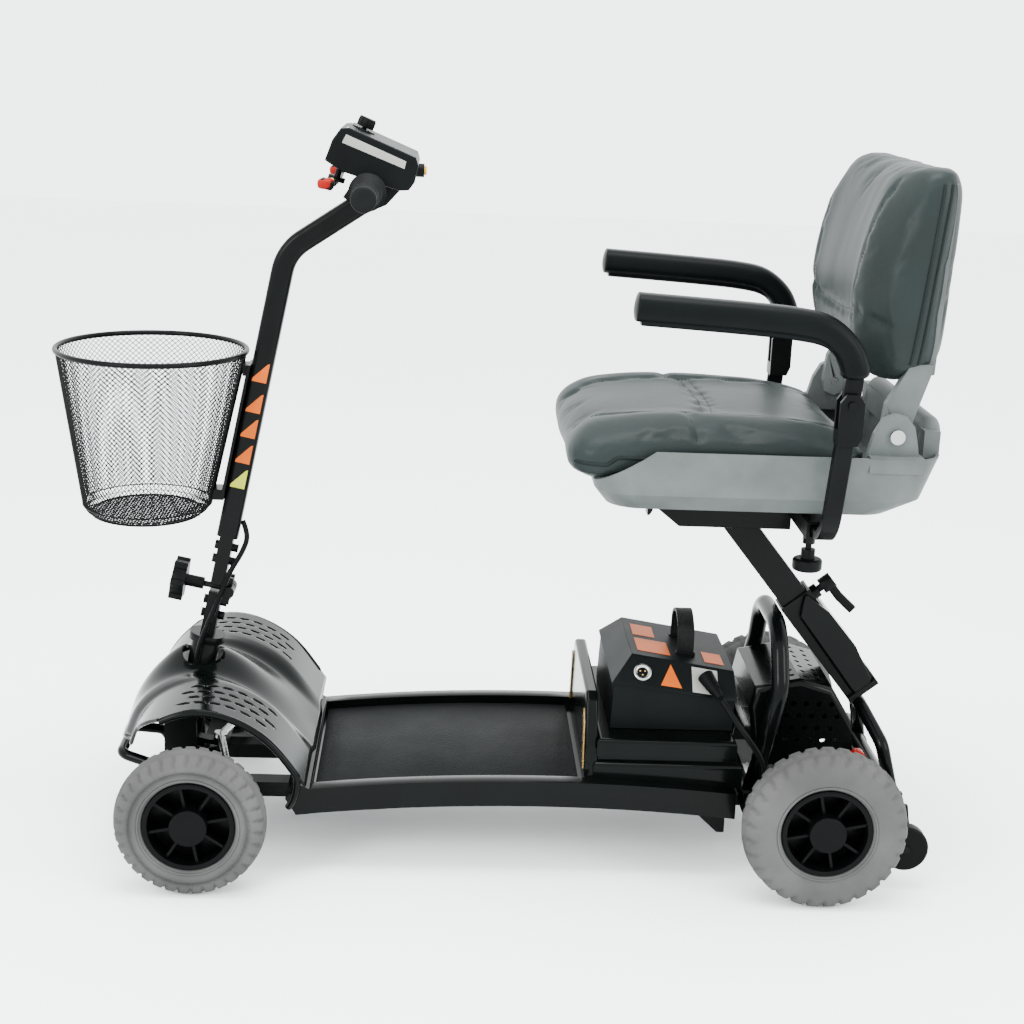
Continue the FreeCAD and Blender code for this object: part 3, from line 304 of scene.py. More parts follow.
def tint(material, shader, source, dark, light, low=0.35, high=0.65):
    """Vary the base colour between two tones."""
    nodes, links = material.node_tree.nodes, material.node_tree.links
    ramp = nodes.new("ShaderNodeValToRGB")
    ramp.color_ramp.elements[0].position = low
    ramp.color_ramp.elements[1].position = high
    ramp.color_ramp.elements[0].color = (*dark, 1)
    ramp.color_ramp.elements[1].color = (*light, 1)
    links.new(source, ramp.inputs["Fac"])
    links.new(ramp.outputs["Color"], shader.inputs["Base Color"])


def spread(material, shader, source, low, high):
    """Vary the roughness between two values."""
    nodes, links = material.node_tree.nodes, material.node_tree.links
    span = nodes.new("ShaderNodeMapRange")
    span.inputs["To Min"].default_value = low
    span.inputs["To Max"].default_value = high
    links.new(source, span.inputs["Value"])
    links.new(span.outputs["Result"], shader.inputs["Roughness"])


def relief(material, shader, source, height, strength=1.0):
    """Bump of a real height in metres; later calls lie on top of earlier ones."""
    nodes, links = material.node_tree.nodes, material.node_tree.links
    bump = nodes.new("ShaderNodeBump")
    bump.inputs["Distance"].default_value = height
    bump.inputs["Strength"].default_value = strength
    links.new(source, bump.inputs["Height"])
    normal = shader.inputs["Normal"]
    if normal.is_linked:
        links.new(normal.links[0].from_socket, bump.inputs["Normal"])
    links.new(bump.outputs["Normal"], normal)


def scaled(colour, factor):
    """A colour made lighter or darker."""
    return tuple(min(1, channel * factor) for channel in colour)


def moulded(name, colour, roughness, grain=900, height=0.00004, **inputs):
    """Moulded plastic: fine grain, faint mottling and roughness that drifts."""
    material, shader = new_material(name, colour, roughness, **inputs)
    broad = texture(material, "Noise", 18, Detail=4)
    tint(material, shader, broad.outputs["Fac"], scaled(colour, 0.86), scaled(colour, 1.14))
    spread(material, shader, broad.outputs["Fac"], roughness - 0.05, roughness + 0.05)
    fine = texture(material, "Noise", grain, Detail=2)
    relief(material, shader, fine.outputs["Fac"], height)
    return material


def powder_coat(name, colour, roughness=0.36):
    """Powder-coated steel: orange peel under a thin clear sheen."""
    material, shader = new_material(name, colour, roughness, Coat_Weight=0.03, Coat_Roughness=0.12)
    broad = texture(material, "Noise", 25, Detail=5)
    tint(material, shader, broad.outputs["Fac"], scaled(colour, 0.8), scaled(colour, 1.25))
    spread(material, shader, broad.outputs["Fac"], roughness - 0.06, roughness + 0.1)
    peel = texture(material, "Noise", 420, Detail=1)
    relief(material, shader, peel.outputs["Fac"], 0.00008)
    return material


def metal(name, colour, roughness):
    """Plated or cast metal with fine scratches."""
    material, shader = new_material(name, colour, roughness, Metallic=1.0)
    broad = texture(material, "Noise", 60, Detail=6)
    spread(material, shader, broad.outputs["Fac"], roughness - 0.08, roughness + 0.14)
    fine = texture(material, "Noise", 1400, Detail=2)
    relief(material, shader, fine.outputs["Fac"], 0.00002)
    return material


def vinyl(name, colour):
    """Leather-look vinyl: pebbled grain, faint creasing and a soft sheen."""
    material, shader = new_material(name, colour, 0.46, Sheen_Weight=0.01, Sheen_Roughness=0.5,
                                    Coat_Weight=0.05, Coat_Roughness=0.3)
    broad = texture(material, "Noise", 9, Detail=5)
    tint(material, shader, broad.outputs["Fac"], scaled(colour, 0.85), scaled(colour, 1.15))
    spread(material, shader, broad.outputs["Fac"], 0.4, 0.54)
    crease = texture(material, "Noise", 45, Detail=3, Distortion=1.2)
    relief(material, shader, crease.outputs["Fac"], 0.0009, 0.35)
    pebble = texture(material, "Voronoi", 520)
    relief(material, shader, pebble.outputs["Distance"], 0.00018, 0.6)
    return material


def rubber(name, colour, roughness=0.7, grain=700, height=0.0001):
    """Matt rubber with a fine dusty surface."""
    material, shader = new_material(name, colour, roughness)
    broad = texture(material, "Noise", 14, Detail=6)
    tint(material, shader, broad.outputs["Fac"], scaled(colour, 0.82), scaled(colour, 1.15))
    spread(material, shader, broad.outputs["Fac"], roughness - 0.08, roughness + 0.08)
    fine = texture(material, "Noise", grain, Detail=3)
    relief(material, shader, fine.outputs["Fac"], height)
    return material


def deck_rubber(name, colour):
    """Deck mat rubber with a pattern of small raised grains."""
    material, shader = new_material(name, colour, 0.62)
    grains = texture(material, "Voronoi", 330)
    tint(material, shader, grains.outputs["Distance"], scaled(colour, 1.2), scaled(colour, 0.75), 0.1, 0.7)
    broad = texture(material, "Noise", 12, Detail=5)
    spread(material, shader, broad.outputs["Fac"], 0.5, 0.72)
    relief(material, shader, grains.outputs["Distance"], 0.0005, 0.7)
    return material


def crosshatch(name, colour):
    """Strap rubber with a diamond crosshatch."""
    material, shader = new_material(name, colour, 0.5)
    nodes, links = material.node_tree.nodes, material.node_tree.links
    broad = texture(material, "Noise", 60, Detail=3)
    tint(material, shader, broad.outputs["Fac"], scaled(colour, 0.8), scaled(colour, 1.2))
    for slant in (45, -45):
        mapping = nodes.new("ShaderNodeMapping")
        mapping.inputs["Rotation"].default_value = (0, 0, math.radians(slant))
        wave = texture(material, "Wave", 120)
        links.new(wave.inputs["Vector"].links[0].from_socket, mapping.inputs["Vector"])
        links.new(mapping.outputs["Vector"], wave.inputs["Vector"])
        relief(material, shader, wave.outputs["Fac"], 0.0006, 0.8)
    return material


def prismatic(name, colour):
    """Reflector plastic with small cells under a clear face."""
    material, shader = new_material(name, colour, 0.15, Coat_Weight=0.8, Metallic=0.35)
    cells = texture(material, "Voronoi", 420)
    tint(material, shader, cells.outputs["Distance"], scaled(colour, 1.3), scaled(colour, 0.45), 0.0, 0.8)
    relief(material, shader, cells.outputs["Distance"], 0.0008, 0.8)
    return material


def studio_surface(name):
    """Pale studio paper."""
    material, shader = new_material(name, (0.9, 0.92, 0.92), 0.6)
    broad = texture(material, "Noise", 0.8, Detail=2)
    tint(material, shader, broad.outputs["Fac"], (0.89, 0.915, 0.915), (0.92, 0.93, 0.93))
    return material


BLACK = (0.0014, 0.0017, 0.0017)
FRAME = powder_coat("frame_paint", (0.0013, 0.0016, 0.0016), 0.3)
TUBE = powder_coat("tube_paint", (0.0012, 0.0016, 0.0016), 0.18)
SHROUD = moulded("shroud_plastic", (0.0009, 0.0015, 0.0013), 0.16, 300, 0.00002, Coat_Weight=0.03,
                 Coat_Roughness=0.06)
DECK = moulded("deck_plastic", (0.0010, 0.0014, 0.0013), 0.2, 320, 0.00003, Coat_Weight=0.04,
               Coat_Roughness=0.1)
MAT = deck_rubber("mat_rubber", (0.0022, 0.0028, 0.0029))
MATTE = moulded("black_plastic", (0.0018, 0.0022, 0.0022), 0.42, 800, 0.00006)
BATTERY = moulded("battery_plastic", (0.0020, 0.0027, 0.0027), 0.48, 1100, 0.0001)
STRAP = crosshatch("strap_rubber", (0.0040, 0.0044, 0.0044))
SEAT_GREY = moulded("seat_plastic", (0.060, 0.068, 0.066), 0.45, 1000, 0.00008)
VINYL = vinyl("slate_vinyl", (0.0085, 0.0120, 0.0117))
PIPING = rubber("piping_vinyl", (0.006, 0.0082, 0.008), 0.5)
THREAD = rubber("thread", (0.010, 0.0135, 0.013), 0.7)
TYRE = rubber("tyre_rubber", (0.050, 0.050, 0.049), 0.72, 500, 0.00012)
HUB = moulded("hub_plastic", (0.0010, 0.0011, 0.0012), 0.3, 500, 0.00003)
ROLLER = rubber("roller_plastic", (0.0014, 0.0014, 0.0014), 0.5)
ARM = moulded("armrest_foam", (0.0012, 0.0018, 0.0018), 0.4, 1300, 0.00007)
GRIP = rubber("grip_rubber", (0.0036, 0.0040, 0.0042), 0.6)
CABLE = rubber("cable_rubber", BLACK, 0.4)
ZINC = metal("zinc_plate", (0.30, 0.31, 0.30), 0.25)
BRASS = metal("brass", (0.40, 0.25, 0.08), 0.25)
CAST = metal("cast_alloy", (0.12, 0.125, 0.13), 0.5)
WIRE = powder_coat("basket_coat", (0.0010, 0.0013, 0.0013), 0.35)
RED = moulded("red_plastic", (0.16, 0.005, 0.003), 0.35)
YELLOW = moulded("yellow_plastic", (0.42, 0.24, 0.005), 0.35)
ORANGE = moulded("orange_film", (0.33, 0.062, 0.004), 0.4, 200, 0.00001)
LIME = moulded("lime_film", (0.26, 0.29, 0.02), 0.4, 200, 0.00001)
LABEL = moulded("white_film", (0.19, 0.195, 0.18), 0.4, 200, 0.00001)
AMBER = prismatic("reflector", (0.20, 0.115, 0.02))
PAPER = studio_surface("studio_paper")


# ---------------------------------------------------------------- stage

def camera():
    """Camera on the left side of the scooter, looking slightly down at it."""
    yaw, pitch, roll = math.radians(-2.52), math.radians(14.51), math.radians(2.33)
    turn = Matrix.Rotation(yaw, 3, "Z")
    right = turn @ Vector((-1, 0, 0))
    ahead = turn @ Vector((0, -1, 0))
    up = Vector((0, 0, 1))
    look = ahead * math.cos(pitch) - up * math.sin(pitch)
    head = up * math.cos(pitch) + ahead * math.sin(pitch)
    across = right * math.cos(roll) + head * math.sin(roll)
    head = head * math.cos(roll) - right * math.sin(roll)
    data = bpy.data.cameras.new("camera")
    data.lens = 64.24
    data.sensor_width = 36
    made = bpy.data.objects.new("camera", data)
    rotation = Matrix((across, head, -look)).transposed()
    made.matrix_world = Matrix.Translation(mm(78.3, 2347.2, 1051.7)) @ rotation.to_4x4()
    bpy.context.scene.collection.objects.link(made)
    bpy.context.scene.camera = made


def area_light(name, at, target, size, power):
    """Soft rectangular light aimed at a point."""
    data = bpy.data.lights.new(name, "AREA")
    data.shape = "RECTANGLE"
    data.size, data.size_y = size
    data.energy = power
    made = bpy.data.objects.new(name, data)
    aim = (Vector(target) - Vector(at)).to_track_quat("-Z", "Y")
    made.matrix_world = Matrix.Translation(at) @ aim.to_matrix().to_4x4()
    bpy.context.scene.collection.objects.link(made)


def studio():
    """Pale floor, white surroundings and three soft lights."""
    world = bpy.data.worlds.new("studio")
    world.use_nodes = True
    background = world.node_tree.nodes["Background"]
    background.inputs["Color"].default_value = (0.97, 1.0, 1.0, 1)
    background.inputs["Strength"].default_value = 4.4
    bpy.context.scene.world = world
    floor = make_piece("floor", [(-9000, -9000, 0), (9000, -9000, 0), (9000, 9000, 0), (-9000, 9000, 0)],
                       [(0, 1, 2, 3)])
    floor.data.materials.append(PAPER)
    area_light("top_light", (0.0, 0.3, 2.8), (0, 0, 0.3), (1.6, 1.2), 130)
    area_light("front_light", (1.9, 2.3, 1.7), (0.1, 0, 0.4), (0.9, 0.9), 80)
    area_light("rear_light", (-2.2, 1.6, 1.5), (-0.2, 0, 0.5), (0.8, 1.2), 60)


# ---------------------------------------------------------------- CAD nodes that stay

KEPT = {
    "main_frame": (FRAME, 1.0), "front_bumper": (TUBE, 0), "front_axle_beam": (FRAME, 0.6),
    "floor_pan": (DECK, 3.0), "deck_mat": (MAT, 1.0), "controller": (CAST, 0.6),
    "battery_tray": (SHROUD, 3.5), "battery_tub": (BATTERY, 3.0), "battery_lid": (BATTERY, 6.0),
    "battery_cells": (MATTE, 1.0), "lead_plug": (MATTE, 0.6), "rear_hoop": (TUBE, 0),
    "rear_arch": (TUBE, 0), "post_sleeve": (FRAME, 1.0), "post_cover": (SHROUD, 5.0),
    "seat_clamp_lever": (MATTE, 0.8), "motor_cover": (DECK, 0), "transaxle": (CAST, 0.6),
    "drive_motor": (FRAME, 1.0), "freewheel_lever": (RED, 0.8), "steering_column": (FRAME, 0.7),
    "tiller_knob": (MATTE, 0.8), "tie_rods": (ZINC, 0.4), "tiller_tube": (FRAME, 0.7),
    "basket_bracket": (FRAME, 1.0), "console_housing": (MATTE, 1.6), "speed_dial": (MATTE, 0.5),
    "horn_button": (YELLOW, 0.5), "ignition_key": (ZINC, 0.4), "throttle_lever": (MATTE, 0.4),
    "seat_base": (SEAT_GREY, 2.0), "hinge_bolts": (ZINC, 0.7), "seat_post": (FRAME, 0.8),
    "backrest_shell": (SEAT_GREY, 2.5),
}
for side in SIDES:
    KEPT["front_hub_" + side] = (HUB, 0.8)
    KEPT["rear_hub_" + side] = (HUB, 0.8)
    KEPT["anti_tip_wheel_" + side] = (ROLLER, 0.8)
    KEPT["knuckle_" + side] = (FRAME, 0.5)
    KEPT["armrest_knob_" + side] = (MATTE, 0.6)
    KEPT["armrest_bar_" + side] = (FRAME, 0.8)


def dress(node, material, width):
    """Material and softened edges for a CAD node that stays as it is."""
    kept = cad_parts[node]
    kept.data.materials.clear()
    kept.data.materials.append(material)
    add_modifier(kept, "WELD", merge_threshold=0.00001)
    if width:
        rounded(kept, width, 2, 35)


# ---------------------------------------------------------------- tyres

def tyre_profile(radius, width):
    """Half-open section of a tyre as (distance across, radius) from bead to bead."""
    half = width / 2
    side = [(-18, RIM_RADIUS), (-22, RIM_RADIUS + 3), (-half + 0.6, 66), (-half, 74),
            (-half, radius - 22), (-half + 0.8, radius - 15)]
    shoulder = [(-half + 3, radius - 9), (-half + 6.5, radius - 5)]
    crown = [(-14, radius - 2.2), (-9, radius - 0.9), (-7, radius - 0.7), (-2, radius)]
    half_section = side + shoulder + crown
    return half_section + [(-y, r) for y, r in half_section[::-1]]


def tread_depth(angle, across, blocks, chunky):
    """How deep the tread is cut at a place on the tyre."""
    offset = 0.5 if across > 0 else 0.0
    slant = 0.012 * abs(across)
    share = (angle / (2 * math.pi) * blocks + offset + slant) % 1
    edge = abs(across)
    groove = 1 if share < 0.26 and edge > 8 else 0
    ring = 1 if 6.5 < edge < 9.5 else 0
    centre = 1 if chunky and share > 0.74 and edge <= 6.5 else 0
    return 3.0 * max(groove, ring, centre)


def tyre(place_name, side):
    """Grey foam-filled tyre with a moulded tread."""
    node = place_name + "_tyre_" + side
    low, high = node_box(node)
    centre = (low + high) / 2
    radius = (high.z - low.z) / 2
    width = high.y - low.y
    profile = tyre_profile(radius, width)
    blocks = 30 if place_name == "rear" else 34
    steps = blocks * 8
    rings = []
    for step in range(steps):
        angle = 2 * math.pi * step / steps
        ring = []
        for across, r in profile:
            if r > radius - 16:
                sink = tread_depth(angle, across, blocks, place_name == "rear")
                sink *= min(1, (r - radius + 16) / 7)
                r -= sink
                across -= math.copysign(sink * 0.5, across)
            ring.append(centre + Vector((r * math.cos(angle), across, r * math.sin(angle))))
        rings.append(ring)
    piece = rings_mesh(node + "_tread", rings, wrap=True)
    out = Vector((0, SIDES[side], 0))
    bead = turned(node + "_bead", centre + out * (width / 2 - 1.2), out,
                  [(0, 61), (0, 64), (1.0, 63.4), (1.0, 61.6)], ring=True)
    whole = joined(node + "_rubber", piece, bead)
    place(whole, place_name + "_wheel_" + side, TYRE, "tyre", node)


def hub_trim(place_name, side):
    """Cap ring, rim lip and five studs on a hub."""
    node = place_name + "_hub_" + side
    low, high = node_box(node)
    out = SIDES[side]
    face = high.y if out > 0 else low.y
    tyre_low, tyre_high = node_box(place_name + "_tyre_" + side)
    centre = (tyre_low + tyre_high) / 2
    centre.y = face
    ring = turned(node + "_cap_ring", centre - Vector((0, out * 2.0, 0)), (0, out, 0),
                  [(0, 19), (0, 23.6), (1.0, 23.6), (1.8, 22.8), (1.8, 20), (1.0, 19)], ring=True)
    rim = turned(node + "_rim_lip", centre - Vector((0, out * 7.5, 0)), (0, out, 0),
                 [(0, 51.5), (0, 57.6), (1.8, 57.6), (2.6, 56.6), (2.6, 52.6), (1.8, 51.5)], 72, ring=True)
    bolts = []
    for c, s in circle(5):
        at = centre + Vector((13 * c, -out * 0.4, 13 * s))
        bolts.append(turned(node + "_stud", at, (0, out, 0), [(-1, 2.4), (0.2, 2.4), (0.38, 1.6)], 6))
    whole = joined(node + "_trim", ring, rim, *bolts)
    place(whole, place_name + "_wheel_" + side, HUB, "hub_plastic")


# ---------------------------------------------------------------- front shroud

SHROUD_CURVES = (
    (0, ((487, 128), (470, 178), (441, 219), (402, 247), (350, 238), (298, 200), (226, 125))),
    (60, ((482, 136), (463, 180), (432, 210), (392, 225), (345, 219), (293, 190), (226, 127))),
    (95, ((464, 148), (447, 188), (415, 215), (372, 229), (325, 222), (276, 192), (229, 132))),
    (202, ((464, 148), (447, 188), (415, 215), (372, 229), (325, 222), (276, 192), (229, 132))),
)
NOSE_PLAN = ((0, 487), (60, 482), (95, 464), (115, 464), (168, 440), (202, 412))


def between(table, at):
    """Straight interpolation in a table of (position, value)."""
    for (a, low), (b, high) in zip(table, table[1:]):
        if at <= b:
            return low + (high - low) * (at - a) / (b - a)
    return table[-1][1]


def shroud_line(y, count):
    """Evenly spaced points on the shroud's outer face at one distance from the middle plane."""
    flat = abs(y)
    curves = [(at, [Vector((x, 0, z)) for x, z in curve]) for at, curve in SHROUD_CURVES]
    for (a, low), (b, high) in zip(curves, curves[1:]):
        if flat <= b:
            t = (flat - a) / (b - a)
            t = t * t * (3 - 2 * t)
            mixed = [p.lerp(q, t) for p, q in zip(low, high)]
            break
    dense = catmull(mixed, 160)
    limit = between(NOSE_PLAN, flat)
    dense = [p for p in dense if p.x <= limit]
    line = evened(dense, count)
    return [Vector((p.x, y, p.z)) for p in line]


def vent_cutter():
    """All the vent slots of both fenders as one cutter."""
    cutters = []
    for side in SIDES.values():
        for row in range(6):
            for column in range(4):
                x = 280 + row * 19 + (column % 2) * 9.5
                y = side * (112 + column * 20)
                outline = [(x + (3.3 if c > 0 else -3.3) + 3.2 * c, y + 3.2 * s) for c, s in circle(16)]
                slot = [[Vector((*at, z)) for at in outline] for z in (130, 275)]
                cutters.append(rings_mesh("slot", slot))
    hole = []
    for height in (180, 300):
        foot = Vector((STEM_BASE.x - (height - STEM_BASE.z) * math.tan(RAKE), 0, height))
        hole.append([foot + Vector((27 * c, 27 * s + (13 if s > 0 else -13), 0)) for c, s in circle(48)])
    cutters.append(rings_mesh("hole", hole))
    return joined("cutter", *cutters)


def front_shroud():
    """Front fairing: one smooth skin with slots and a raised saddle round the stem; its rolled edge is
    added by shroud_lips.
    """
    ys = [-202 + 404 * i / 80 for i in range(81)]
    rows = []
    for y in ys:
        line = shroud_line(y, 49)
        raised = 1.6 * (0.5 - 0.5 * math.tanh((abs(y) - 84) / 2.5))
        rows.append([p + Vector((0, 0, raised * min(1, i / 6, (48 - i) / 6))) for i, p in enumerate(line)])
    verts = [p for row in rows for p in row]
    faces = []
    for row in range(80):
        for column in range(48):
            a = row * 49 + column
            faces.append((a, a + 49, a + 50, a + 1))
    skin = make_piece("front_shroud_skin", verts, faces)
    add_modifier(skin, "SOLIDIFY", thickness=0.003, offset=-1, use_even_offset=True)
    applied(skin)
    cutter = vent_cutter()
    add_modifier(skin, "BOOLEAN", operation="DIFFERENCE", object=cutter, solver="EXACT")
    applied(skin)
    bpy.data.objects.remove(cutter)
    return skin


# ---------------------------------------------------------------- basket

def cup_point(turn, level):
    """Point on the basket's wall. turn is 0 to 1 around, level 0 at the foot to 1 at the rim."""
    low, high = node_box("basket")
    angle = 2 * math.pi * turn
    x = 455 + (448 - 455) * level
    along = 83 + (121 - 83) * level
    across = 94 + (129 - 94) * level
    z = low.z + 14 + (high.z - 8 - low.z - 14) * level
    return Vector((x + along * math.cos(angle), across * math.sin(angle), z))


def diamond_wall():
    """Expanded-mesh wall as flat diamonds, ready to be turned into strands."""
    around, rows = 92, 58
    index = {}
    verts = []
    faces = []

    def vertex(column, row):
        key = (column % (2 * around), row)
        if key not in index:
            index[key] = len(verts)
            verts.append(cup_point(column / (2 * around), row / rows))
        return index[key]

    for row in range(0, rows - 1):
        for column in range(around):
            shift = 2 * column + row % 2
            faces.append((vertex(shift, row), vertex(shift + 1, row + 1), vertex(shift, row + 2),
                          vertex(shift - 1, row + 1)) if row + 2 <= rows else None)
    faces = [f for f in faces if f]
    return verts, faces


def diamond_floor():
    """Flat mesh across the basket's foot."""
    low, _ = node_box("basket")
    pitch = 8.0
    verts = []
    faces = []
    index = {}

    def vertex(i, j):
        key = (i, j)
        if key not in index:
            index[key] = len(verts)
            verts.append(Vector((456 + i * pitch / 2, j * pitch / 2, low.z + 2)))
        return index[key]

    for i in range(-22, 23):
        for j in range(-24, 25):
            if (i + j) % 2:
                continue
            if ((i * pitch / 2) / 72) ** 2 + ((j * pitch / 2) / 83) ** 2 < 0.97:
                faces.append((vertex(i + 1, j), vertex(i, j + 1), vertex(i - 1, j), vertex(i, j - 1)))
    return verts, faces


def strands(name, verts, faces, thickness):
    """Turn faces into a mesh of strands along their edges."""
    piece = make_piece(name, verts, faces)
    add_modifier(piece, "WIREFRAME", thickness=thickness * 0.001, use_even_offset=False, use_replace=True)
    return applied(piece)


def oval_ring(name, centre, along, across, radius, steps=96):
    """Round wire bent into an oval."""
    rings = []
    for c, s in circle(steps):
        out = Vector((c / along, s / across, 0)).normalized()
        at = Vector(centre) + Vector((along * c, across * s, 0))
        rings.append([at + (out * a + Vector((0, 0, 1)) * b) * radius for a, b in circle(10)])
    return rings_mesh(name, rings, wrap=True)


def basket():
    """Open mesh basket with a rolled rim, a foot ring and a sloping band of mesh under it."""
    low, high = node_box("basket")
    wall = strands("wall", *diamond_wall(), 1.5)
    floor = strands("floor_mesh", *diamond_floor(), 1.5)
    rim = oval_ring("rim", (448, 0, high.z - 5), 121.5, 129.5, 3.5)
    foot = oval_ring("foot", (455, 0, low.z + 14), 83.2, 94.2, 0.9)
    sole = oval_ring("sole", (456, 0, low.z + 2), 71, 82, 1.4)
    count = 100
    skirt_verts = []
    skirt_faces = []
    for c, s in circle(count):
        for along, across, z in ((71, 82, low.z + 2), (78, 89, low.z + 7), (83, 94, low.z + 14)):
            skirt_verts.append(Vector((455.5 + along * c, across * s, z)))
    for step in range(count):
        for level in range(2):
            a = step * 3 + level
            b = (step + 1) % count * 3 + level
            skirt_faces.append((a, b, b + 1, a + 1))
    skirt = strands("skirt", skirt_verts, skirt_faces, 1.4)
    whole = joined("basket_mesh", wall, floor, rim, foot, sole, skirt)
    for polygon in whole.data.polygons:
        polygon.use_smooth = True
    return whole


# ---------------------------------------------------------------- cushions

def cross_section(half, low, top, crest, crest_at, count=48, power=3.2):
    """Points round a cushion's section: across the width, with two raised bolsters."""
    points = []
    for c, s in circle(count):
        across = half * bent(c, 2 / power)
        up = abs(s) ** (2 / power) if s > 0 else -abs(s) ** 0.3
        middle = (top + low) / 2
        height = middle + (top - middle) * up if up > 0 else middle + (middle - low) * up
        if up > 0:
            bump = math.exp(-((abs(across) - crest_at) / 30) ** 2)
            height += crest * bump * up
        points.append((across, height))
    return points


def puffed(piece, voxel, pressure, cap):
    """Cloth simulation of a padded cover, with the result kept in the mesh."""
    add_modifier(piece, "REMESH", mode="VOXEL", voxel_size=voxel, use_smooth_shade=True)
    applied(piece)
    start = [v.co.copy() for v in piece.data.vertices]
    cloth = add_modifier(piece, "CLOTH").settings
    cloth.use_pressure = True
    cloth.uniform_pressure_force = pressure
    cloth.effector_weights.gravity = 0
    cloth.tension_stiffness = 18
    cloth.compression_stiffness = 12
    cloth.bending_stiffness = 0.8
    cloth.quality = 4
    scene = bpy.context.scene
    for step in range(1, 21):
        scene.frame_set(step)
    applied(piece)
    scene.frame_set(1)
    for vertex, rest in zip(piece.data.vertices, start):
        moved = vertex.co - rest
        if moved.length > cap:
            vertex.co = rest + moved.normalized() * cap
    return piece


def surface_tree(piece):
    """Search tree of a piece's mesh."""
    work = bmesh.new()
    work.from_mesh(piece.data)
    tree = BVHTree.FromBMesh(work)
    work.free()
    return tree


def on_surface(tree, line, direction):
    """Drop a line of points on to the surface along a direction."""
    found = []
    for point in line:
        start = Vector(point) * 0.001 - Vector(direction) * 2
        hit, normal, _, _ = tree.ray_cast(start, Vector(direction))
        if hit is not None:
            found.append((hit * 1000, normal))
    return found


def with_normals(piece):
    """Each vertex with a copy of its normal, read before anything moves."""
    piece.data.update()
    return [(vertex, vertex.normal.copy()) for vertex in piece.data.vertices]


def press_seams(piece, lines, depth, width, pucker=0.0):
    """Sink sewn channels into a cover, with puckers beside them."""
    segments = [(a[0] * 0.001, b[0] * 0.001) for line in lines for a, b in zip(line, line[1:])]
    for vertex, normal in with_normals(piece):
        best = 1.0
        for a, b in segments:
            if (vertex.co - a).length > 0.06:
                continue
            run = b - a
            t = max(0, min(1, (vertex.co - a).dot(run) / max(run.length_squared, 1e-12)))
            best = min(best, (vertex.co - a - run * t).length)
        if best < width * 4:
            sink = depth * math.exp(-(best / width) ** 2)
            ripple = pucker * noise.noise(vertex.co * 55) * math.exp(-(best / (width * 2.2)) ** 2)
            vertex.co -= normal * (sink - ripple)


def piping(name, line, radius, lift=0.3):
    """Round piping laid along a line on a surface."""
    points = [p + n * lift for p, n in line]
    return round_cable(name, points[::2] + points[-1:], radius)


def stitches(name, line, offset, length=3.4, gap=1.6, radius=0.42):
    """Row of thread stitches beside a line on a surface."""
    points = [p for p, _ in line]
    normals = [n for _, n in line]
    total = sum((b - a).length for a, b in zip(points, points[1:]))
    count = max(2, int(total / (length + gap)))
    along = evened(points, count * 4)
    parts = []
    for step in range(count):
        a, b = along[step * 4], along[min(step * 4 + 3, len(along) - 1)]
        share = step / count * (len(normals) - 1)
        normal = normals[int(share)]
        run = (b - a).normalized()
        side = run.cross(normal).normalized() * offset
        start, end = a + side + normal * 0.15, b + side + normal * 0.15
        first, second = axis_frame(run)
        rings = []
        for t, r in ((0, 0.15), (0.2, 1), (0.8, 1), (1, 0.15)):
            centre = start.lerp(end, t)
            rings.append([centre + (first * c + second * s) * radius * r for c, s in circle(6)])
        parts.append(rings_mesh("stitch", rings))
    return joined(name, *parts)


SEAT_STATIONS = (
    # x, half width, bottom, top at the middle, bolster rise
    (-79, 148, 548, 562, 0), (-82, 168, 538, 572, 2), (-93, 188, 530, 584, 5), (-118, 198, 528, 593, 8),
    (-155, 205, 536, 598, 10), (-200, 206, 552, 600, 11), (-260, 206, 558, 600, 11),
    (-320, 204, 556, 599, 10), (-380, 203, 556, 596, 8), (-425, 200, 558, 590, 4), (-446, 195, 563, 584, 1),
    (-453, 182, 567, 577, 0),
)


def seat_cushion():
    """Seat cover: crowned, with bolsters at the sides and sewn panels; also gives the line for the piping
    round its edge.
    """
    rings = []
    for x, half, low, top, crest in SEAT_STATIONS:
        rings.append([(x, across, height) for across, height in cross_section(half, low, top, crest, 145)])
    cover = rings_mesh("seat_cover", rings)
    add_modifier(cover, "SUBSURF", levels=2)
    puffed(cover, 0.0055, 4.0, 0.007)
    tree = surface_tree(cover)
    down = (0, 0, -1)
    lines = []
    for side in (1, -1):
        lines.append([(-96, side * 96, 0), (-150, side * 112, 0),
                      (-230, side * 120, 0), (-320, side * 124, 0),
                      (-424, side * 128, 0)])
        lines.append([(-230, side * 120, 0), (-236, side * 160, 0), (-240, side * 190, 0)])
    lines.append([(-250, 118, 0), (-256, 60, 0), (-258, 0, 0), (-256, -60, 0), (-250, -118, 0)])
    lines.append([(-262, 118, 0), (-268, 60, 0), (-270, 0, 0), (-268, -60, 0), (-262, -118, 0)])
    seams = [on_surface(tree, catmull(line, 60), down) for line in lines]
    press_seams(cover, seams, 0.0030, 0.0045, 0.0028)
    edge = [(-92, 130, 0), (-100, 172, 0), (-120, 197, 0), (-180, 205, 0), (-300, 206, 0), (-420, 200, 0)]
    for vertex, normal in with_normals(cover):
        fold = noise.noise(Vector((vertex.co.x * 22, vertex.co.y * 9, vertex.co.z * 22)))
        nose = max(0, (vertex.co.x + 0.20) / 0.12)
        vertex.co += normal * fold * (0.0008 + 0.0022 * min(1, nose))
    add_modifier(cover, "SUBSURF", levels=1)
    applied(cover)
    return cover, [on_surface(surface_tree(cover), catmull(line, 60), down) for line in lines], edge


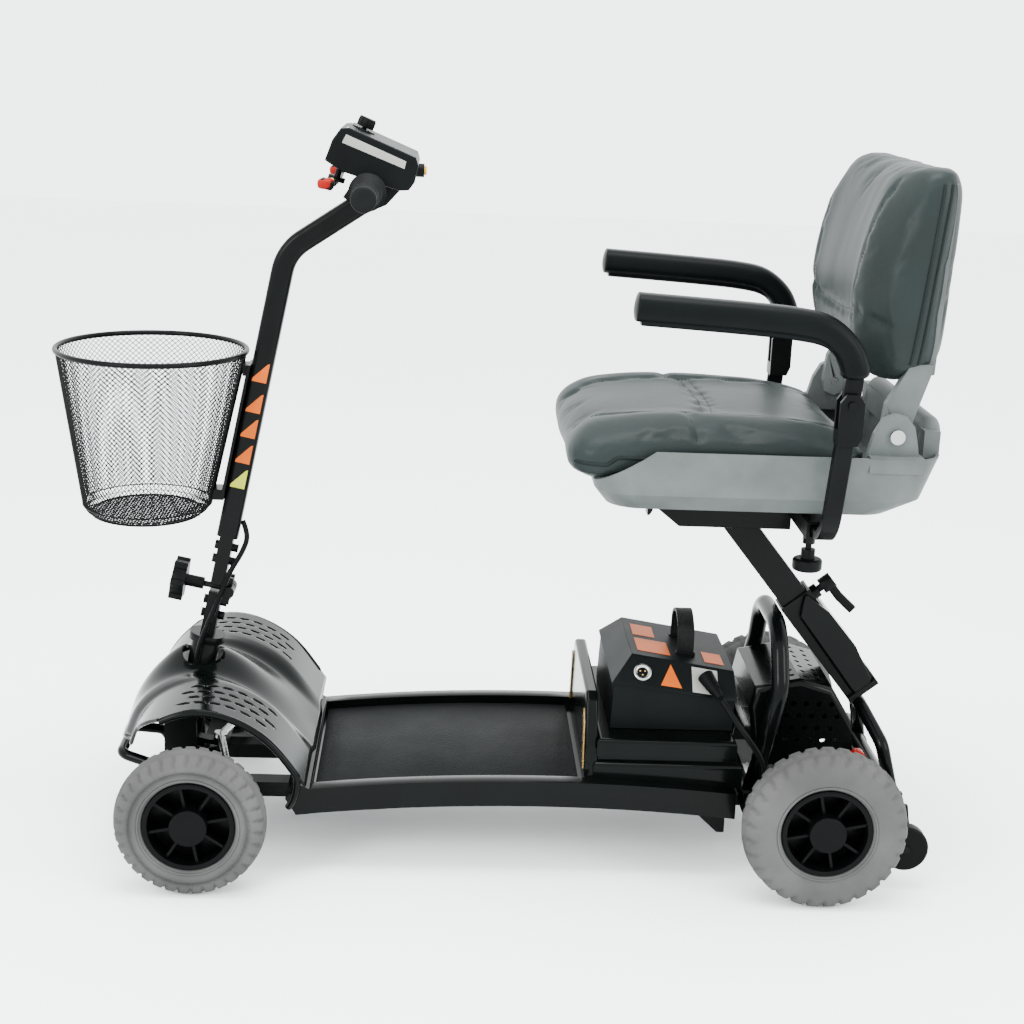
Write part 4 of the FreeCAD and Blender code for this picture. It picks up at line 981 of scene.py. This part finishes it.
def seat_trim(cover, seams, edge):
    """Stitches along the seams and piping round the cushion's lower edge."""
    parts = [stitches("stitch_row", seam, 2.6) for seam in seams]
    rows = joined("seat_stitching", *parts)
    place(rows, "seat", THREAD, "vinyl")
    tree = surface_tree(cover)
    for side in SIDES.values():
        line = []
        for x, _, _ in catmull(edge, 50):
            start = mm(x, side * 300, 566 if x < -140 else 556)
            hit, normal, _, _ = tree.ray_cast(start, Vector((0, -side, 0)))
            if hit is not None:
                line.append((hit * 1000, normal))
        made = piping("seat_piping_%s" % ("left" if side > 0 else "right"), line, 2.2)
        place(made, "seat", PIPING, "vinyl")


BACK_STATIONS = (
    # height, half width, front face x, rear face x
    (668, 168, -470, -524), (672, 182, -455, -534), (690, 196, -440, -540), (730, 200, -433, -542),
    (780, 201, -434, -544), (830, 201, -443, -546), (870, 199, -454, -547), (902, 195, -467, -547),
    (920, 187, -479, -543), (927, 170, -494, -534),
)


def back_section(z, half, front, rear, count=48, power=3.0):
    """Section of the back cushion at one height, with bolsters down its front."""
    points = []
    middle = (front + rear) / 2
    for c, s in circle(count):
        across = half * bent(c, 2 / power)
        deep = bent(s, 2 / power)
        x = middle + (front - middle) * deep if deep > 0 else middle + (middle - rear) * deep
        if deep > 0:
            crest = 9 if 700 < z < 900 else 3
            x += crest * deep * math.exp(-((abs(across) - 140) / 28) ** 2)
            x -= 4 * deep * math.exp(-(across / 70) ** 2)
        droop = 14 * max(0, deep) * max(0, (730 - z) / 60)
        points.append((x, across, z - droop))
    return points


def back_cushion():
    """Backrest cover: side bolsters, sewn panels, gathered top edge."""
    cover = rings_mesh("back_cover", [back_section(*row) for row in BACK_STATIONS])
    add_modifier(cover, "SUBSURF", levels=2)
    puffed(cover, 0.0055, 4.0, 0.006)
    tree = surface_tree(cover)
    rearward = (-1, 0, 0)
    lines = []
    for side in (1, -1):
        lines.append([(0, side * 118, 690), (0, side * 122, 760),
                      (0, side * 128, 830), (0, side * 136, 905)])
        lines.append([(0, side * 122, 756), (0, side * 160, 742), (0, side * 188, 736)])
    lines.append([(0, 118, 744), (0, 60, 738), (0, 0, 736), (0, -60, 738), (0, -118, 744)])
    seams = [on_surface(tree, catmull(line, 60), rearward) for line in lines]
    press_seams(cover, seams, 0.0030, 0.0045, 0.0030)
    for vertex, normal in with_normals(cover):
        fold = noise.noise(Vector((vertex.co.x * 10, vertex.co.y * 26, vertex.co.z * 7)))
        top = max(0, (vertex.co.z - 0.86) / 0.06)
        vertex.co += normal * fold * (0.0010 + 0.0022 * min(1, top))
    add_modifier(cover, "SUBSURF", levels=1)
    applied(cover)
    return cover, [on_surface(surface_tree(cover), catmull(line, 60), rearward) for line in lines]


def back_trim(cover, seams):
    """Stitching on the front and double piping down each side."""
    rows = joined("back_stitching", *[stitches("stitch_row", seam, 2.6) for seam in seams])
    place(rows, "backrest", THREAD, "vinyl")
    tree = surface_tree(cover)
    for name, side in SIDES.items():
        for label, shift in (("outer", 0), ("inner", 10)):
            line = []
            for x, _, z in catmull([(-500 + shift, 0, 690), (-508 + shift, 0, 770), (-516 + shift, 0, 850),
                                    (-522 + shift, 0, 905)], 40):
                hit, normal, _, _ = tree.ray_cast(mm(x, side * 300, z), Vector((0, -side, 0)))
                if hit is not None:
                    line.append((hit * 1000, normal))
            made = piping("back_piping_%s_%s" % (label, name), line, 1.9)
            place(made, "backrest", PIPING, "vinyl")


# ---------------------------------------------------------------- armrests

ARM_PATH = ((-414, 676), (-411, 694), (-399, 716), (-374, 735), (-340, 742), (-290, 746), (-220, 750),
            (-162, 753), (-148, 754))


def armrest(side):
    """Foam pad with a crowned top, a step beneath it and screws in the step."""
    name = "armrest_" + side
    low, high = node_box(name)
    y = (low.y + high.y) / 2
    path = catmull([Vector((x, y, z)) for x, z in ARM_PATH], 60)
    rings = []
    for index, point in enumerate(path):
        before, after = path[max(0, index - 1)], path[min(len(path) - 1, index + 1)]
        run = (after - before).normalized()
        up = Vector((-run.z, 0, run.x))
        ends = min(1, (index + 0.12) / 4, (len(path) - index - 0.88) / 4)
        shrink = math.sqrt(1 - (1 - ends) ** 2)
        ring = []
        for c, s in circle(28):
            across = 20.5 * bent(c, 0.72) * shrink
            height = (18.5 if s > 0 else 16) * bent(s, 0.8) * shrink
            ring.append(point + Vector((0, across, 0)) + up * height)
        rings.append(ring)
    pad = rings_mesh(name + "_pad", rings)
    add_modifier(pad, "SUBSURF", levels=1)
    applied(pad)
    rail = []
    for point in path[8:-6]:
        rail.append([point + Vector((0, across, 0)) + Vector((0, 0, z)) for across, z in
                     ((-14, -8), (14, -8), (14, -17), (10, -19.5), (-10, -19.5), (-14, -17))])
    step_piece = rings_mesh(name + "_rail", rail)
    screws = []
    for x in (-190, -300):
        near = min(path, key=lambda p: abs(p.x - x))
        screws.append(turned("screw", near + Vector((0, 0, -17)), (0, 0, -1),
                             [(0, 4.2), (1.4, 4.2), (2.6, 2.6), (2.2, 1.2)], 20))
    whole = joined(name + "_foam", pad, step_piece)
    place(whole, "arm_pad_" + side, ARM, "armrest_foam")
    place(joined(name + "_screws", *screws), "arm_pad_" + side, ZINC, "bright_steel")
    return whole


def arm_tab(side):
    """Steel tongue at the armrest's root."""
    y0, y1 = (229.0, 241.0) if side == "left" else (-241.0, -229.0)
    outline = [(-400, 650), (-402, 690), (-424, 690), (-421, 650), (-416, 641), (-410, 638.5), (-404, 641)]
    rings = [[(x, y, z) for x, z in outline] for y in (y0, y1)]
    tongue = rounded(rings_mesh("armrest_tongue_" + side, rings), 1.0)
    place(applied(tongue), "arm_pad_" + side, FRAME, "frame_paint")


# ---------------------------------------------------------------- tiller head

def grips():
    """Rubber grips with ribs, an inner flange and a rounded end."""
    for name, side in SIDES.items():
        profile = [(0, 11.4), (0, 22), (1.5, 23.3), (4, 23.3), (6, 20), (14, 17.6)]
        for rib in range(14):
            at = 18 + rib * 6.2
            profile += [(at, 15.6), (at + 1, 14.4), (at + 3.4, 14.4), (at + 4.4, 15.6)]
        profile += [(107, 15.6), (109.5, 14.6), (110.6, 12.5), (110.9, 6), (110.2, 5)]
        start = HANDLEBAR + Vector((0, side * 92, 0))
        grip = turned("grip_" + name, start, (0, side, 0), profile, 40)
        place(grip, "tiller", GRIP, "grip_rubber", *(["grips"] if side > 0 else []))


def console_trim():
    """Blank plate, screws, dial bezel and pointer on the console."""
    _, high = node_box("console_housing")
    for name, side in SIDES.items():
        y = side * (high.y - 0.1)
        outline = [(204, y, 921), (199, y, 931), (125, y, 901), (127, y, 892)]
        made = plate("console_plate_" + name, outline, (0, side, 0), 0.7)
        place(made, "tiller", LABEL, "black_plastic")
    parts = []
    for x, z in ((197, 937.6), (125, 908.6)):
        for y in (-58, 58):
            parts.append(turned("screw", (x, y, z + 0.6), CONSOLE_NORMAL,
                                [(-1, 2.6), (0.4, 2.6), (0.9, 1.6)], 16))
    place(joined("console_screws", *parts), "tiller", ZINC, "bright_steel")
    bezel = turned("dial_bezel", (181, 0, 933.2), CONSOLE_NORMAL,
                   [(0, 4), (0, 15), (1.2, 15), (1.8, 14), (1.8, 4)], 40, ring=True)
    place(bezel, "tiller", MATTE, "black_plastic")
    pointer = block("dial_pointer", (-0.8, -0.6, 0), (0.8, 8.0, 0.7), 0.2)
    tip = Matrix(((0.928, 0, -0.373), (0, 1, 0), (0.373, 0, 0.928))).to_4x4()
    pointer.data.transform(Matrix.Translation(mm(175.1, 0, 948.3)) @ tip)
    place(pointer, "dial", LABEL, "black_plastic")


def throttle_tips():
    """Red finger pads over the ends of the throttle lever, and brass screws beside them."""
    for name, side in SIDES.items():
        rings = []
        for t, swell in ((0, 0.55), (0.12, 0.9), (0.3, 1), (0.7, 1), (0.88, 0.9), (1, 0.55)):
            centre = Vector((219.5 + 1.5 * t, side * (100.5 + 27 * t), 874.4))
            rings.append([centre + Vector((10 * bent(c, 0.7), 0, 6.8 * bent(s, 0.7))) * swell
                          for c, s in circle(24)])
        tip = rings_mesh("throttle_tip_" + name, rings)
        add_modifier(tip, "SUBSURF", levels=1)
        place(applied(tip), "throttle", RED, "lever_plastic")
        screw = turned("throttle_screw_" + name, (215, side * 78, 876), LEVER_NORMAL,
                       [(-3, 3), (1.5, 3), (2.4, 2.0)], 18)
        place(screw, "throttle", BRASS, "bright_steel")


def tiller_films():
    """Plain coloured films wrapped on the back edge of the tiller tube."""
    axis = Vector((-math.sin(RAKE), 0, math.cos(RAKE)))
    ahead = Vector((math.cos(RAKE), 0, math.sin(RAKE)))
    films = ((371, ORANGE), (330, ORANGE), (296, ORANGE), (261, ORANGE), (227, LIME))
    for index, (up, material) in enumerate(films):
        at = STEM_BASE + axis * up
        for name, side in SIDES.items():
            y = side * 14.05
            outline = [at + ahead * f + axis * u + Vector((0, y, 0))
                       for f, u in ((-9.5, 15), (-7, 14), (9, -7), (9.5, -11), (-9.5, -11))]
            film = plate("tiller_film_%d_%s" % (index, name), outline, (0, side, 0), 0.3)
            place(film, "tiller", material, "frame_paint")


CABLE_ROUTE = ((331, 0, 421), (322, 5, 404), (329, 18, 383), (345, 26, 358), (360, 28, 318),
               (375, 30, 282), (386, 31, 252), (391, 27, 222), (392, 24, 196))
LEAD_ROUTE = ((-302, 128, 232), (-315, 143, 215), (-333, 150, 192), (-352, 146, 166), (-362, 136, 140),
              (-360, 128, 118))


def cables():
    """Tiller cable curving down past the hinge, and the battery lead."""
    tiller = round_cable("tiller_cable_run", CABLE_ROUTE, 3.5)
    mesh = bpy.data.meshes.new_from_object(tiller)
    bpy.data.objects.remove(tiller)
    bent = bpy.data.objects.new("tiller_cable_run", mesh)
    bpy.context.scene.collection.objects.link(bent)
    bent.data.materials.clear()
    bent.data.materials.append(CABLE)
    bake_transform(bent)
    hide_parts("tiller_cable")
    lead = round_cable("battery_lead_run", LEAD_ROUTE, 4.0)
    place(lead, "chassis", CABLE, "cable_rubber", "battery_lead")


# ---------------------------------------------------------------- battery dressing

def lid_slope(x):
    """Height of the lid's top face at x."""
    _, high = node_box("battery_lid")
    return high.z + (x + 187) * 21 / 136


def side_face(x, share):
    """Point on the lid's sloping left face, share 0 at its foot to 1 at its top."""
    foot = Vector((x, 110, 246 + (x + 162) * 21 / 160))
    head = Vector((x, 78, lid_slope(x)))
    return foot.lerp(head, share)


def shroud_lips():
    """Thick rolled edge down each fender's side, and a thinner one round the nose."""
    for name, side in SIDES.items():
        edge = [p - Vector((0, side * 2.0, 4.5)) for p in shroud_line(side * 201, 40)]
        edge = edge[:-2] + [Vector((243, side * 198, 112)), Vector((252, side * 190, 98))]
        lip = round_cable("fender_lip_" + name, edge[::2] + edge[-1:], 4.6)
        place(lip, "chassis", SHROUD, "shroud_plastic")
    nose = [shroud_line(y, 40)[0] - Vector((1.5, 0, 1.0)) for y in range(-198, 199, 12)]
    place(round_cable("nose_lip", nose, 2.6), "chassis", SHROUD, "shroud_plastic")


def battery_handle():
    """Carrying strap with a rib along each edge, on two feet."""
    low, high = node_box("battery_handle")
    y0, y1 = low.y + 3.5, high.y - 3.5
    x = (low.x + high.x) / 2
    foot = lid_slope(x) - 1
    line = catmull([(x, y1, foot), (x, y1 - 0.5, foot + 22), (x, y1 - 8, foot + 40),
                    (x, (y0 + y1) / 2, high.z - 2.6),
                    (x, y0 + 8, foot + 40), (x, y0 + 0.5, foot + 22), (x, y0, foot)], 60)
    rings = []
    for index, point in enumerate(line):
        before, after = line[max(0, index - 1)], line[min(len(line) - 1, index + 1)]
        run = (after - before).normalized()
        out = Vector((0, run.z, -run.y))
        section = ((-11, -2), (11, -2), (11, 2.6), (9, 2.6), (8.4, 1.4), (-8.4, 1.4), (-9, 2.6), (-11, 2.6))
        rings.append([point + Vector((a, 0, 0)) - out * b for a, b in section])
    strap = rounded(rings_mesh("battery_strap", rings), 0.4, 2)
    place(applied(strap), "chassis", STRAP, "handle_strap", "battery_handle")
    for name, y in (("left", y1), ("right", y0)):
        clip = block("strap_clip_" + name, (x - 13, y - 5, foot - 1), (x + 13, y + 5, foot + 5), 1.2)
        place(clip, "chassis", MATTE, "black_plastic")


def battery_trim():
    """Charging socket, connector plate and plain films."""
    centre = side_face(-200, 0.46)
    across = side_face(-200, 1) - side_face(-200, 0)
    out = Vector((1, 0, 0)).cross(across).normalized()
    out = out if out.y > 0 else -out
    ring = turned("socket_ring", centre, out,
                  [(-1, 6), (-1, 12), (2.4, 12), (3.4, 11), (3.4, 7.5), (1.0, 7.2), (1.0, 6)], ring=True)
    place(ring, "chassis", ZINC, "bright_steel")
    core = turned("socket_core", centre, out, [(-1, 7), (1.4, 7), (1.6, 6.6)])
    place(core, "chassis", MATTE, "black_plastic")
    pins = []
    first, second = axis_frame(out)
    for turn in range(3):
        angle = 2 * math.pi * turn / 3 + 0.5
        at = centre + (first * math.cos(angle) + second * math.sin(angle)) * 3.6
        pins.append(turned("pin", at, out, [(0, 1.2), (2.2, 1.2), (2.6, 0.8)], 12))
    place(joined("socket_pins", *pins), "chassis", BRASS, "bright_steel")

    def film(name, places, material):
        lift = out * 0.25
        made = plate(name, [side_face(x, s) + lift for x, s in places], out, 0.35)
        place(made, "chassis", material, "battery_plastic")

    film("side_film", [(-224, 0.16), (-252, 0.16), (-238, 0.86)], ORANGE)
    film("connector_plate", [(-266, 0.1), (-300, 0.1), (-300, 0.9), (-266, 0.9)], LABEL)
    labels = ((-196, -226, -52, -6), (-196, -240, 8, 60), (-286, -312, 20, 62))
    for index, (x0, x1, y0, y1) in enumerate(labels):
        outline = [(x, y, lid_slope(x) + 0.2) for x, y in ((x0, y0), (x1, y0), (x1, y1), (x0, y1))]
        made = plate("lid_film_%d" % index, outline, (0, 0, 1), 0.35)
        place(made, "chassis", ORANGE, "battery_plastic")


def reflectors():
    """Amber reflectors at the ends of the tray's front wall."""
    _, high = node_box("battery_tray")
    corners = ((140, 138), (122, 138), (108, 205), (116, 214), (128, 196))
    for name, side in SIDES.items():
        outline = [(high.x + 0.2, side * y, z) for y, z in corners]
        made = plate("reflector_" + name, outline, (1, 0, 0), 2.4)
        place(made, "chassis", AMBER, "shroud_plastic")


# ---------------------------------------------------------------- build

camera()
studio()
for place_name, side in WHEEL_SIDES:
    tyre(place_name, side)
    hub_trim(place_name, side)
place(front_shroud(), "chassis", SHROUD, "shroud_plastic", "front_shroud")
shroud_lips()
place(basket(), "tiller", WIRE, "basket_mesh", "basket")
cover, seams, edge = seat_cushion()
place(cover, "seat", VINYL, "vinyl", "seat_cushion")
seat_trim(cover, seams, edge)
cover, seams = back_cushion()
place(cover, "backrest", VINYL, "vinyl", "backrest_cushion")
back_trim(cover, seams)
for side in SIDES:
    foam = armrest(side)
    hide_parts("armrest_" + side)
    arm_tab(side)
grips()
console_trim()
throttle_tips()
tiller_films()
cables()
battery_handle()
battery_trim()
reflectors()
for node, (material, width) in KEPT.items():
    dress(node, material, width)
